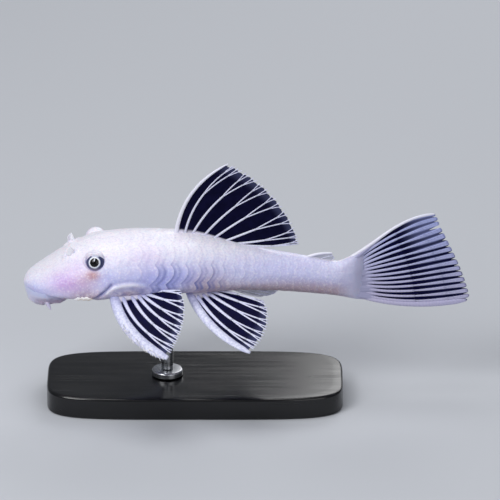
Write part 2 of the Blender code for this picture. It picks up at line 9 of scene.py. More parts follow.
import bmesh
import bpy
import numpy as np
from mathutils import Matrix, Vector


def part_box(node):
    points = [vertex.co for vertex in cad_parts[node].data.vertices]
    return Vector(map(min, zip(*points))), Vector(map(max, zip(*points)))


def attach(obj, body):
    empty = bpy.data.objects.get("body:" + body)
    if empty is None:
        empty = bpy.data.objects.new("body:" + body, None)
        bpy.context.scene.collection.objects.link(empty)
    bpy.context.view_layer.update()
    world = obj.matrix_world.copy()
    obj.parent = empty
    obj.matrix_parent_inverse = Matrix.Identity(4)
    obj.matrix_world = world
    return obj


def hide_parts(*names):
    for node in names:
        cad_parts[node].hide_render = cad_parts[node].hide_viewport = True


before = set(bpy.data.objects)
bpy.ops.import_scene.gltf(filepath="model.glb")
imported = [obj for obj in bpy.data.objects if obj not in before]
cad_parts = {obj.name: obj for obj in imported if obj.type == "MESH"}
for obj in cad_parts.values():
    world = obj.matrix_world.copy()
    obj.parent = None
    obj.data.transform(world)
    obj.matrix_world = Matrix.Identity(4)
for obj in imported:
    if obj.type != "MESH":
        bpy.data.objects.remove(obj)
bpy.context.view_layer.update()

# The fish's own millimetres and the row frame
MIDDLE_X = 60.0
BELLY_HEIGHT = 32.0
HEAD_END = 24.0
SKIN_END = 91.4

# The skin's grid. The head's rows crowd towards the snout by this power
COLUMNS = 131
HEAD_ROWS = 150
HEAD_CROWDING = 1.6
TAIL_ROWS = 22

# x, height of the back, height of the belly, half width, height of the widest line
STATIONS = np.array(
    (
        (0.0, 1.5, 1.5, 0.0, 1.5),
        (1.3, 3.9, 0.6, 4.8, 1.9),
        (4.6, 6.0, 0.1, 8.8, 2.2),
        (8.0, 8.4, 0.0, 10.6, 2.5),
        (13.7, 12.2, -0.2, 12.2, 3.0),
        (21.7, 15.0, -0.3, 13.0, 3.8),
        (34.0, 15.8, 0.0, 12.5, 5.0),
        (44.0, 15.5, 0.2, 11.1, 5.0),
        (55.0, 13.2, 0.1, 8.6, 4.5),
        (66.0, 10.4, -0.5, 6.1, 3.9),
        (76.0, 8.6, -1.5, 4.3, 3.2),
        (84.0, 7.2, -2.5, 3.1, 2.5),
        (88.6, 9.1, -3.5, 2.2, 2.6),
        (90.2, 9.9, -3.8, 1.3, 2.8),
        (SKIN_END, 10.3, -3.9, 0.3, 3.2),
    )
)
BACK, BELLY, HALF_WIDTH, WIDEST = 1, 2, 3, 4
BELLY_SQUARENESS = ((0.0, 10.0, 20.0, 30.0, 50.0, 66.0, 88.6), (2.6, 3.6, 3.2, 2.5, 2.4, 2.1, 2.2))
BACK_SQUARENESS = ((0.0, 15.0, 50.0, 88.6), (2.2, 2.0, 1.9, 2.1))

# Bony plates
ROW_EDGES = np.array((0.0, 0.16, 0.33, 0.49, 0.64, 0.80, 1.20))
PLATES = 22
FIRST_PLATE_EDGE = 25.5
PLATE_LIFT = 0.1
PLATE_DROP = 0.4
NAKED_BELLY_END = 56.0

# Head. Lid angles reach across the line of sight, above it and below it
EYE_CENTRE = np.array((19.65, -8.75, 10.3))
EYE_RADIUS = 2.6
SOCKET_RADIUS = 2.52
LID_CENTRE = EYE_CENTRE + np.array((-0.35, 0.2, 0.35))
LID_RADIUS = 2.88
LID_ANGLES = (math.radians(84.0), math.radians(46.0), math.radians(70.0))
GAZE = np.array((-0.13, -0.92, 0.385))
# A dark crescent lies over the eye, on this circle seen from the side
CRESCENT_X, CRESCENT_Z, CRESCENT_RADIUS = 19.7, 10.5, 2.15
# x and share of the way from back to belly
NOSTRIL = (12.5, 0.116)
# Points as x and z
GILL_SLIT = ((24.4, 6.0), (23.7, 5.1), (22.5, 3.9), (21.3, 2.9), (20.2, 1.9), (19.0, 1.0), (16.5, 0.3))
GIRDLE_RIDGE = ((22.4, 2.6), (23.2, 3.7), (24.6, 4.6), (27.0, 5.3), (30.0, 5.4), (32.5, 5.2))

# Seams of the skull: points as x and share of the half girth, and depth
HALF_GIRTH = 42.0
SKULL_SEAMS = (
    (((24.6, 0.045), (21.5, 0.062), (18.6, 0.03), (18.0, 0.0)), 1.0),
    (((24.8, 0.21), (22.6, 0.2), (21.0, 0.19)), 0.8),
    (((17.6, 0.12), (15.2, 0.06), (14.4, 0.0)), 0.6),
    (((21.4, 0.30), (22.4, 0.36), (24.6, 0.37)), 0.8),
)

# Soft patches of the skin's colour zones on the left flank: strength, centre and half sizes
PATCHES = {
    # Lavender painted shade on the lower flank, the low snout, the rear body and behind the gill slit
    "cool": (
        (0.62, (38.0, -12.0, 6.5), (11.5, 5.0, 4.6)),
        (0.45, (4.0, -7.0, 1.0), (6.0, 6.0, 3.6)),
        (0.35, (60.0, -6.0, 8.0), (22.0, 6.0, 4.0)),
        (0.3, (22.5, -12.5, 7.0), (4.0, 4.0, 3.0)),
    ),
    "blush": (
        (0.78, (11.3, -10.5, 5.3), (4.4, 5.0, 2.9)),
        (0.34, (16.5, -12.0, 4.0), (4.2, 5.0, 3.4)),
        (0.28, (15.0, -10.0, 9.5), (3.2, 4.0, 2.6)),
        (0.25, (33.0, -9.0, 12.0), (5.0, 4.0, 3.0)),
    ),
    "sore": ((0.75, (19.0, -11.0, 7.9), (1.7, 2.4, 1.2)), (0.3, (17.0, -12.0, 6.6), (3.4, 2.4, 2.0))),
    # Warm tone, here painted shade low on the flank
    "warm_tone_and_shade": ((0.35, (50.0, -10.0, 6.0), (5.0, 4.0, 2.6)),),
}

# Lips: centre behind the snout, half length ahead of it and behind it, half width, height
LIP_RINGS = np.array(
    (
        (7.6, 6.75, 5.5, 7.9, -0.9),
        (7.5, 6.45, 5.5, 7.6, -1.4),
        (7.5, 5.9, 5.35, 7.3, -2.0),
        (7.45, 5.0, 4.6, 6.6, -2.6),
        (7.3, 3.8, 3.5, 5.6, -2.9),
        (7.0, 2.5, 2.5, 4.7, -2.8),
        (6.7, 1.7, 1.7, 3.9, -2.2),
        (6.6, 1.2, 1.2, 3.3, -1.4),
        (6.6, 0.7, 0.7, 2.2, -0.9),
        (6.6, 0.0, 0.0, 0.0, -0.75),
    )
)
MOUTH_X = 7.5
LIP_TOP = 1.9
LIP_ROOT_RADIUS = 5.2
PAPILLA_SPACING = 0.62
PAPILLA_HEIGHT = 0.16
TEETH_PER_ROW = 20

SIDES = (("left", 1.0), ("right", -1.0))


def to_frame(points):
    """Fish millimetres to row metres."""
    return (points + np.array((-MIDDLE_X, 0.0, BELLY_HEIGHT))) / 1000.0


def smooth_step(low, high, x):
    """Cubic step 3t^2 - 2t^3 from 0 at low to 1 at high."""
    t = np.clip((x - low) / (high - low), 0.0, 1.0)
    return t * t * (3.0 - 2.0 * t)


def bell(x, width):
    """exp(-(x / width)^2)"""
    return np.exp(-((x / width) ** 2))


def parabola(values, u):
    """The parabola through three values at u = 0, 1/2 and 1."""
    first, middle, last = values
    return first * (1 - u) * (1 - 2 * u) + 4 * middle * u * (1 - u) + last * u * (2 * u - 1)


def unit(vectors):
    """Each vector divided by its length."""
    return vectors / np.maximum(np.linalg.norm(vectors, axis=-1, keepdims=True), 1e-12)


def points_at(x, y, z):
    """Points from three coordinates, each of them a number or an array."""
    return np.stack(np.broadcast_arrays(x, y, z), axis=-1)


def curve(t, start, bend, end):
    """The quadratic curve (1 - t)^2 start + 2 t (1 - t) bend + t^2 end."""
    return (1 - t) ** 2 * start + 2 * t * (1 - t) * bend + t**2 * end


def around(count):
    """Angles of a full turn without its end, as one row."""
    return np.linspace(0, 2 * math.pi, count, endpoint=False)[None, :]


def body_curve(x, column):
    """Monotone cubic through one column of the stations against q = sqrt(x), which rounds the snout."""
    knots, values = np.sqrt(STATIONS[:, 0]), STATIONS[:, column]
    steps = np.diff(knots)
    rises = np.diff(values) / steps
    near, far = 2 * steps[1:] + steps[:-1], steps[1:] + 2 * steps[:-1]
    same = rises[:-1] * rises[1:] > 0
    safe = np.where(rises == 0, 1.0, rises)
    inner = np.where(same, (near + far) / (near / safe[:-1] + far / safe[1:]), 0.0)
    slopes = np.concatenate(([rises[0]], inner, [rises[-1]]))
    q = np.sqrt(np.clip(x, 0.0, None))
    i = np.clip(np.searchsorted(knots, q, side="right") - 1, 0, len(steps) - 1)
    h, t = steps[i], (q - knots[i]) / steps[i]
    by_value = values[i] * (2 * t**3 - 3 * t**2 + 1) + values[i + 1] * (3 * t**2 - 2 * t**3)
    return by_value + slopes[i] * h * (t**3 - 2 * t**2 + t) + slopes[i + 1] * h * (t**3 - t**2)


def skin_points(x, share):
    """Left flank: a superellipse |y/w|^n + |(z - side)/reach|^n = 1 at each x, swept from the back (share 0)
    to the belly (share 1)."""
    angle = math.pi * (0.5 - share)
    across, up = np.abs(np.cos(angle)), np.sin(angle)
    above = up >= 0
    power = 2.0 / np.where(above, np.interp(x, *BACK_SQUARENESS), np.interp(x, *BELLY_SQUARENESS))
    side = body_curve(x, WIDEST)
    reach = np.where(above, body_curve(x, BACK) - side, side - body_curve(x, BELLY))
    y = -body_curve(x, HALF_WIDTH) * across**power
    z = side + np.sign(up) * reach * np.abs(up) ** power
    middle = (share <= 0.0) | (share >= 1.0)
    return points_at(x, np.where(middle, 0.0, y), z)


def away_from_line(points, line):
    """Distance in the x-z plane from each point to a polyline, and where along it, 0 to 1."""
    flat = points[..., [0, 2]]
    line = np.array(line)
    lengths = np.linalg.norm(np.diff(line, axis=0), axis=1)
    starts = np.concatenate(([0.0], np.cumsum(lengths)))
    best, where = np.full(flat.shape[:-1], 1e9), np.zeros(flat.shape[:-1])
    for a, b, start, length in zip(line, line[1:], starts, lengths):
        t = np.clip(((flat - a) @ (b - a)) / length**2, 0.0, 1.0)
        far = np.linalg.norm(flat - (a + t[..., None] * (b - a)), axis=-1)
        closer = far < best
        best = np.where(closer, far, best)
        where = np.where(closer, (start + t * length) / starts[-1], where)
    return best, where


def ripple(points, size, seed):
    """Soft relief, mostly -1 to 1: a sum of nine sine waves near this wavelength in seeded directions."""
    rng = np.random.default_rng(seed)
    total, waves = np.zeros(points.shape[:-1]), 9
    for _ in range(waves):
        direction = rng.normal(size=3)
        direction *= 2 * math.pi / (size * rng.uniform(0.7, 1.4) * np.linalg.norm(direction))
        total += np.sin(points @ direction + rng.uniform(0, 2 * math.pi))
    return total / (0.5 * waves)


def crowded(u, weight):
    """Moves u, from 0 to 1, so that values lie closer together where the weight is larger: the inverse of the
    weight's running total."""
    fine = np.linspace(0.0, 1.0, 4001)
    total = np.concatenate(([0.0], np.cumsum(weight(0.5 * (fine[1:] + fine[:-1])))))
    return np.interp(u, total / total[-1], fine)


class Surface:
    """Rings of points, faces and named point values that become one mesh."""

    def __init__(self):
        """Starts with nothing."""
        self.points, self.faces, self.values, self.count = [], [], {}, 0

    def grid(self, points, **values):
        """Adds a grid of points (rows, columns, 3) whose last column joins the first."""
        rows, columns = points.shape[:2]
        index = self.count + np.arange(rows * columns).reshape(rows, columns)
        beside = np.roll(index, -1, axis=1)
        self.points.append(points.reshape(-1, 3))
        self.faces.append(np.stack((index[:-1], beside[:-1], beside[1:], index[1:]), axis=-1).reshape(-1, 4))
        for name in dict.fromkeys((*self.values, *values)):
            store = self.values.setdefault(name, [np.zeros(self.count)])
            store.append(np.broadcast_to(values.get(name, 0.0), (rows, columns)).ravel())
        self.count += rows * columns
        return self

    def piece(self, name, material, slot, replaces=(), sharp=None):
        """Closes poles and seams by merging what coincides, turns faces outwards and makes the piece."""
        mesh = bpy.data.meshes.new(name)
        points, faces = to_frame(np.concatenate(self.points)), np.concatenate(self.faces)
        mesh.vertices.add(len(points))
        mesh.vertices.foreach_set("co", points.ravel())
        mesh.loops.add(faces.size)
        mesh.loops.foreach_set("vertex_index", faces.ravel())
        mesh.polygons.add(len(faces))
        mesh.polygons.foreach_set("loop_start", np.arange(0, faces.size, 4))
        mesh.update(calc_edges=True)
        for key, stored in self.values.items():
            layer = mesh.attributes.new(key, "FLOAT", "POINT")
            layer.data.foreach_set("value", np.concatenate(stored).astype(np.float32))
        shell = bmesh.new()
        shell.from_mesh(mesh)
        bmesh.ops.remove_doubles(shell, verts=shell.verts, dist=2e-7)
        bmesh.ops.recalc_face_normals(shell, faces=shell.faces)
        shell.to_mesh(mesh)
        shell.free()
        mesh.shade_smooth()
        if sharp is not None:
            mesh.set_sharp_from_angle(angle=math.radians(sharp))
        mesh.materials.append(material)
        made = bpy.data.objects.new(name, mesh)
        bpy.context.scene.collection.objects.link(made)
        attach(made, "root")
        if replaces:
            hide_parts(*replaces)


def pole(row):
    """A row (1, columns, 3) drawn together to its middle, which closes the end of a grid."""
    return np.repeat(row.mean(axis=1, keepdims=True), row.shape[1], axis=1)


def tube(path, wide, deep, side, columns):
    """Oval sections carried along a path: point + side * wide * cos t + depth * deep * sin t, both ends
    closed to a point."""
    ahead = unit(np.gradient(path, axis=0))
    side = unit(side - ahead * (ahead * side).sum(-1, keepdims=True))
    depth = np.cross(ahead, side)
    turn = around(columns)
    wide, deep = (np.broadcast_to(size, len(path))[:, None] for size in (wide, deep))
    ring = path[:, None] + side[:, None] * (wide * np.cos(turn))[..., None]
    ring = ring + depth[:, None] * (deep * np.sin(turn))[..., None]
    first, last = (np.repeat(path[k][None, None], columns, axis=1) for k in (0, -1))
    return np.concatenate((first, ring, last), axis=0)


def padded_rows(values):
    """One value for each row, the first and last repeated to match the closed ends of a tube or a leaf."""
    return np.concatenate((values[:1], values, values[-1:]))[:, None]


def leaf(front, back):
    """Two sheets as one flat ring, closed at every edge: each end row is drawn to the middle between them."""
    sheet = np.concatenate((front, back[:, ::-1]), axis=1)
    first, last = (np.concatenate((row, row[::-1]))[None] for row in 0.5 * (front[[0, -1]] + back[[0, -1]]))
    return np.concatenate((first, sheet, last), axis=0)


def on_leaf(values):
    """Values on a sheet as leaf lays its points: on both faces, and repeated on the end rows."""
    both = np.concatenate((values, values[:, ::-1]), axis=1)
    return np.concatenate((both[:1], both, both[-1:]), axis=0)


def mirrored(points, side):
    """The left flank as it is for side 1, or its mirror image for side -1."""
    return points * np.array((1.0, side, 1.0))


# Colours and materials. A pattern's scale is in cells per metre: a cell is 1000 / scale millimetres wide

# Inputs and output of a Mix node on colours
MIX_A, MIX_B, MIX_OUT = 6, 7, 2


def linear(code):
    """An sRGB hex colour as linear RGBA."""
    channels = [int(code[i : i + 2], 16) / 255 for i in (1, 3, 5)]
    return (*(c / 12.92 if c <= 0.04045 else ((c + 0.055) / 1.055) ** 2.4 for c in channels), 1.0)


def fill(tree, node, inputs):
    """Sets a node's inputs: a socket is linked in, and anything else becomes the input's own value."""
    for key, value in dict(inputs).items():
        if isinstance(value, bpy.types.NodeSocket):
            tree.links.new(value, node.inputs[key])
        else:
            node.inputs[key].default_value = value


def add(tree, kind, inputs=(), out=0, stops=(), **settings):
    """Adds one node with its settings, its inputs and a ramp's stops, and gives one of its outputs."""
    node = tree.nodes.new("ShaderNode" + kind)
    for key, value in settings.items():
        setattr(node, key, value)
    fill(tree, node, inputs)
    while stops and len(node.color_ramp.elements) < len(stops):
        node.color_ramp.elements.new(1.0)
    for element, (place, code) in zip(node.color_ramp.elements if stops else (), stops):
        element.position = place
        element.color = linear(code)
    return node.outputs[out]


def blank(name):
    """A new node material and its tree."""
    material = bpy.data.materials.new(name)
    material.use_nodes = True
    return material, material.node_tree


def finished(material, **inputs):
    """The material with its Principled shader's inputs fed by nodes or set on the shader's own sockets."""
    tree = material.node_tree
    fill(tree, tree.nodes["Principled BSDF"], {key.replace("_", " "): value for key, value in inputs.items()})
    return material


def armoured_skin():
    """Plated skin of a white fish under a thin coat of mucus: milky and slightly translucent, with blood
    showing pink at the cheek, a warm tone on the rough skin and fine prickles that break the gloss. Lavender
    painted shade lies low on the flank and towards the tail, with painted shade in creases and hollows and
    painted highlights on ridges and edges."""
    material, tree = blank("White armoured skin")
    place = add(tree, "TexCoord", out="Object")
    names = ("cool", "blush", "sore", "warm_tone_and_shade", "crease", "crest", "tail_end_shade")
    zone = {name: add(tree, "Attribute", out="Fac", attribute_name=name) for name in names}
    mottle = add(tree, "TexNoise", {"Vector": place, "Scale": 420.0, "Detail": 3.0})
    # Speckles about 0.5 mm across: patches of prickles catch the light, and the skin between them does not
    speck = add(tree, "TexNoise", {"Vector": place, "Scale": 1900.0, "Detail": 2.0})
    mottle, bright_speck, dim_speck = (
        add(tree, "MapRange", {0: value, 1: low, 2: high, 4: most})
        for value, low, high, most in (
            (mottle, 0.35, 0.7, 0.5),
            (speck, 0.52, 0.68, 0.3),
            (speck, 0.48, 0.34, 0.28),
        )
    )
    colour = linear("#f0eef8")
    for factor, tint in (
        (mottle, "#eee6f6"),
        # Painted shade, lavender, low on the flank and towards the tail
        (zone["cool"], "#a4a9ec"),
        (zone["blush"], "#c9a0e0"),
        # Warm tone of the rough skin, and painted shade low on the belly, on the tail stalk and below the eye
        (zone["warm_tone_and_shade"], "#b0949f"),
        (zone["sore"], "#b4706e"),
        (dim_speck, "#bfbbe0"),
        (bright_speck, "#fbfaff"),
        # Painted shade over the end of the tail stalk
        (zone["tail_end_shade"], "#bcbbd9"),
        # Painted highlight
        (zone["crest"], "#fbfaff"),
        # Painted shade in creases and hollows, and dark marks: the skull's seams and a crescent over the eye
        (zone["crease"], "#7277b4"),
    ):
        colour = add(tree, "Mix", {0: factor, MIX_A: colour, MIX_B: linear(tint)}, MIX_OUT, data_type="RGBA")
    # The prickles are about 0.1 mm apart on the fish, and are drawn near 0.4 mm so that they show
    prickle = add(tree, "TexVoronoi", {"Vector": place, "Scale": 2600.0})
    grain = add(tree, "TexNoise", {"Vector": place, "Scale": 1300.0, "Detail": 4.0})
    height = add(tree, "Math", {0: prickle, 1: grain}, operation="ADD")
    return finished(
        material,
        Base_Color=colour,
        Roughness=add(tree, "MapRange", {0: grain, 1: 0.3, 2: 0.7, 3: 0.34, 4: 0.52}),
        Normal=add(tree, "Bump", {"Height": height, "Strength": 0.22, "Distance": 0.00012}),
        IOR=1.4,
        Subsurface_Weight=0.22,
        Subsurface_Radius=(1.0, 0.55, 0.5),
        Subsurface_Scale=0.0012,
        Coat_Weight=0.35,
        Coat_Roughness=0.22,
        Coat_IOR=1.34,
    )


def fin_bone(name, start, bright, shade, low=None):
    """Segmented bony fin rays: opaque white from the root, a little darker and wetter towards the tips, with
    rough prickles on the stout spines. low tints the last rays."""
    material, tree = blank(name)
    out, edge, rough, length = (
        add(tree, "Attribute", out="Fac", attribute_name=key) for key in ("out", "edge", "rough", "length_mm")
    )
    # Ray segments are about 0.45 mm long, and are drawn at 0.9 mm so that they show
    wave = add(tree, "Math", {0: length, 1: 2 * math.pi / 0.9}, operation="MULTIPLY")
    wave = add(tree, "Math", {0: wave}, operation="SINE")
    band = add(tree, "MapRange", {0: wave, 1: 0.5, 2: 1.0, 4: 0.18})
    # Prickles on the stout spines, about 0.7 mm apart, with shade between them
    place = add(tree, "TexCoord", out="Object")
    prickle = add(tree, "TexVoronoi", {"Vector": place, "Scale": 1500.0})
    dip = add(tree, "MapRange", {0: prickle, 1: 0.35, 2: 0.75, 4: 0.55})
    dip = add(tree, "Math", {0: dip, 1: rough}, operation="MULTIPLY")
    layers = [(band, "#9a9ac8"), (edge, "#f4f3fa"), (dip, "#a4a8d0")]
    if low:
        layers.insert(0, (add(tree, "Attribute", out="Fac", attribute_name="rank"), low))
    # start is the colour at the root, which for the paired fins is painted shade under the body
    colour = add(tree, "ValToRGB", {"Fac": out}, stops=((0.0, start), (0.25, bright), (1.0, shade)))
    for factor, tint in layers:
        colour = add(tree, "Mix", {0: factor, MIX_A: colour, MIX_B: linear(tint)}, MIX_OUT, data_type="RGBA")
    grain = add(tree, "TexNoise", {"Vector": place, "Scale": 2400.0, "Detail": 3.0})
    height = add(tree, "Math", {0: grain, 1: 1.6, 2: wave}, operation="MULTIPLY_ADD")
    height = add(tree, "Math", {0: dip, 1: 4.0, 2: height}, operation="MULTIPLY_ADD")
    return finished(
        material,
        Base_Color=colour,
        Normal=add(tree, "Bump", {"Height": height, "Strength": 0.3, "Distance": 0.00008}, invert=True),
        Roughness=0.38,
        IOR=1.45,
        Subsurface_Weight=0.15,
        Subsurface_Radius=(0.5, 0.4, 0.5),
        Subsurface_Scale=0.0006,
        Coat_Weight=0.3,
        Coat_Roughness=0.2,
    )


def fin_web(name, deep, pale, opacity, flesh_tint="#e4e0f2"):
    """Thin wet fin membrane, partly clear, pale and thick where flesh runs out over its root. In the dark
    membranes deep is painted shade: the dark seen through a clear membrane, drawn nearly opaque.
    """
    material, tree = blank(name)
    place = add(tree, "TexCoord", out="Object")
    flesh, film = (add(tree, "Attribute", out="Fac", attribute_name=key) for key in ("flesh", "film"))
    cloud = add(tree, "TexNoise", {"Vector": place, "Scale": 500.0, "Detail": 3.0})
    cloud = add(tree, "MapRange", {0: cloud, 1: 0.4, 2: 0.75, 4: 0.45})
    colour = linear(deep)
    for factor, tint in ((cloud, pale), (film, "#98a0d6"), (flesh, flesh_tint)):
        colour = add(tree, "Mix", {0: factor, MIX_A: colour, MIX_B: linear(tint)}, MIX_OUT, data_type="RGBA")
    return finished(
        material,
        Base_Color=colour,
        Roughness=0.42,
        IOR=1.33,
        Alpha=opacity,
        Specular_IOR_Level=0.08,
    )


def wet_eye():
    """Fish eye under a clear cornea: black pupil with a pale lobe hanging from its top, silver iris, slate
    rim, and lid shadow along the ball's upper and lower edges."""
    material, tree = blank("Fish eye")
    ring, lobe, under, over = (
        add(tree, "Attribute", out="Fac", attribute_name=name) for name in ("ring", "lobe", "under", "over")
    )
    place = add(tree, "TexCoord", out="Object")
    # The iris has an uneven edge, in steps of about 0.4 mm
    streak = add(tree, "TexNoise", {"Vector": place, "Scale": 2600.0, "Detail": 2.0})
    uneven = add(tree, "MapRange", {0: streak, 1: 0.2, 2: 0.8, 3: -0.06, 4: 0.06})
    ring = add(tree, "Math", {0: ring, 1: uneven}, operation="ADD")
    inside = add(tree, "MapRange", {0: lobe, 1: -0.03, 2: 0.03, 3: 1.0, 4: 0.0})
    within = add(tree, "MapRange", {0: ring, 1: 1.0, 2: 1.2, 3: 1.0, 4: 0.0})
    inside = add(tree, "Math", {0: inside, 1: within}, operation="MULTIPLY")
    colour = add(
        tree,
        "ValToRGB",
        {"Fac": add(tree, "Math", {0: ring, 1: 2.5}, operation="DIVIDE")},
        stops=(
            (0.0, "#010102"),
            (0.47, "#020204"),
            (0.495, "#f4f6fb"),
            (0.6, "#dfe4f0"),
            (0.66, "#5a6288"),
            (0.74, "#30355a"),
            (0.88, "#464b74"),
            (0.955, "#262a4a"),
            (1.0, "#8588ac"),
        ),
    )
    for factor, tint in ((under, "#8d869c"), (over, "#c4c8de"), (inside, "#dde1ee")):
        colour = add(tree, "Mix", {0: factor, MIX_A: colour, MIX_B: linear(tint)}, MIX_OUT, data_type="RGBA")
    return finished(
        material,
        Base_Color=colour,
        Roughness=0.35,
        IOR=1.38,
        Coat_Weight=0.55,
        Coat_Roughness=0.02,
        Specular_IOR_Level=0.15,
    )


def lip_skin():
    """Soft naked lip skin: pinker and moister than the plates, with close papillae, darker towards the mouth,
    and with painted shade on the lips' lower side.
    """
    material, tree = blank("Naked lip skin")
    inner, papilla = (add(tree, "Attribute", out="Fac", attribute_name=name) for name in ("inner", "papilla"))
    stops = ((0.0, "#d3d5fa"), (0.12, "#d8d6f3"), (0.45, "#b5a9c4"), (0.8, "#c99fb4"), (1.0, "#6e3a48"))
    colour = add(tree, "ValToRGB", {"Fac": inner}, stops=stops)
    mixed = {0: papilla, MIX_A: colour, MIX_B: linear("#f2e8f2")}
    place = add(tree, "TexCoord", out="Object")
    grain = add(tree, "TexNoise", {"Vector": place, "Scale": 1600.0, "Detail": 3.0})
    return finished(
        material,
        Base_Color=add(tree, "Mix", mixed, MIX_OUT, data_type="RGBA"),
        Normal=add(tree, "Bump", {"Height": grain, "Strength": 0.15, "Distance": 0.0001}),
        Roughness=0.36,
        IOR=1.4,
        Subsurface_Weight=0.3,
        Subsurface_Radius=(1.0, 0.5, 0.45),
        Subsurface_Scale=0.0012,
        Coat_Weight=0.4,
        Coat_Roughness=0.18,
    )


def enamel():
    """Enamel of teeth and hooks, polished by wear: ivory, amber towards the tips."""
    material, tree = blank("Worn enamel")
    tip = add(tree, "Attribute", out="Fac", attribute_name="tip")
    colour = add(tree, "ValToRGB", {"Fac": tip}, stops=((0.0, "#f6f5fa"), (0.7, "#f4f1f0"), (1.0, "#e2c9a4")))
    return finished(material, Base_Color=colour, Roughness=0.28, IOR=1.6, Coat_Weight=0.2)


def black_acrylic():
    """Cast black acrylic, polished: deep black with faint dust and hairlines in the gloss."""
    material, tree = blank("Polished black acrylic")
    place = add(tree, "TexCoord", out="Object")
    # Hairlines run 25 mm along the base and are drawn about 1 mm apart so that they show
    along = add(tree, "Mapping", {"Vector": place, "Scale": (40.0, 900.0, 900.0)})
    hair = add(tree, "TexNoise", {"Vector": along, "Scale": 1.0, "Detail": 3.0})
    dust = add(tree, "TexNoise", {"Vector": place, "Scale": 90.0, "Detail": 5.0})
    dust = add(tree, "MapRange", {0: dust, 1: 0.5, 2: 0.8, 4: 0.25})
    mixed = {0: dust, MIX_A: linear("#0b0b0d"), MIX_B: linear("#1d1d22")}
    return finished(
        material,
        Base_Color=add(tree, "Mix", mixed, MIX_OUT, data_type="RGBA"),
        Roughness=add(tree, "MapRange", {0: hair, 1: 0.4, 2: 0.75, 3: 0.16, 4: 0.3}),
        IOR=1.49,
    )


def turned_steel():
    """Stainless steel turned on a lathe: fine rings round the rod that spread the highlight."""
    material, tree = blank("Turned stainless steel")
    place = add(tree, "TexCoord", out="Object")
    # The tool's rings are about 0.1 mm apart, and are drawn at 0.19 mm so that they show
    rings = add(tree, "Mapping", {"Vector": place, "Scale": (60.0, 60.0, 5200.0)})
    cut = add(tree, "TexNoise", {"Vector": rings, "Scale": 1.0, "Detail": 2.0})
    mixed = {0: cut, MIX_A: linear("#a9abb0"), MIX_B: linear("#c8cacd")}
    return finished(
        material,
        Base_Color=add(tree, "Mix", mixed, MIX_OUT, data_type="RGBA"),
        Roughness=add(tree, "MapRange", {0: cut, 1: 0.3, 2: 0.7, 3: 0.2, 4: 0.36}),
        Normal=add(tree, "Bump", {"Height": cut, "Strength": 0.12, "Distance": 0.00005}),
        Metallic=1.0,
    )


# The skin


def row_phase(share):
    """Where a share lies in its row of plates, 0 at the row's upper edge and 1 at its lower edge."""
    row = np.clip(np.searchsorted(ROW_EDGES, share, side="right") - 1, 0, len(ROW_EDGES) - 2)
    return (share - ROW_EDGES[row]) / (ROW_EDGES[row + 1] - ROW_EDGES[row])


def plate_edges():
    """Rear edges of the plates: the pitch is 1.85 + 3.3 exp(-k / 6) mm, long plates behind the head and short
    ones at the tail."""
    pitch = 1.85 + 3.3 * np.exp(-np.arange(PLATES - 1) / 6.0)
    return FIRST_PLATE_EDGE + np.concatenate(([0.0], np.cumsum(pitch)))


def edge_lean(share):
    """Rear edges bow backwards in each row and lean forwards below the side, as a share of the pitch."""
    crown = 1 - (2 * row_phase(share) - 1) ** 2
    return 0.28 * crown - 0.42 * smooth_step(0.36, 0.55, share)


def skin_rows():
    """x of each row of the skin's grid at the back, how far through its plate it is, and the plate's length.
    Rows crowd by the eye and at the plates' rear edges, and the tail's last rows bear no plates."""

    def by_eye(u):
        """Weight of the head's rows, largest at the eye."""
        return 0.8 + 1.1 * bell(HEAD_END * u**HEAD_CROWDING - EYE_CENTRE[0], EYE_RADIUS)

    head = HEAD_END * crowded(np.arange(HEAD_ROWS) / HEAD_ROWS, by_eye) ** HEAD_CROWDING
    parts = [(head, -1.0, 5.0)]
    edges = plate_edges()
    steps = np.array((0.0, 0.2, 0.42, 0.64, 0.82, 0.94, 1.0))
    starts = np.concatenate(([HEAD_END], edges[:-1] + PLATE_DROP))
    for start, edge, length in zip(starts, edges, np.diff(np.concatenate(([20.5], edges)))):
        own = np.append(start + (edge - start) * steps, edge + 0.4 * PLATE_DROP)
        parts.append((own, np.append(steps, 0.45), length))
    parts.append((np.linspace(edges[-1] + PLATE_DROP, SKIN_END, TAIL_ROWS), 0.0, 1.9))
    return [np.concatenate([np.broadcast_to(p[k], len(p[0])) for p in parts])[:, None] for k in range(3)]


def reach_sphere(points, normals, centre, radius, otherwise):
    """How far along its normal each point meets a sphere: h = -b + sqrt(b^2 - c). otherwise stands where the
    normal misses it, or meets it more than 5 mm under the skin."""
    away = points - centre
    b = (away * normals).sum(-1)
    inside = b * b - (away * away).sum(-1) + radius**2
    height = -b + np.sqrt(np.maximum(inside, 0.0))
    return np.where((inside > 0) & (height > -5.0), height, otherwise)


def eye_axes():
    """The left eye's line of sight, and the directions up and across it."""
    sight = unit(GAZE)
    up = unit(np.array((0.0, 0.0, 1.0)) - sight * sight[2])
    return sight, up, np.cross(sight, up)


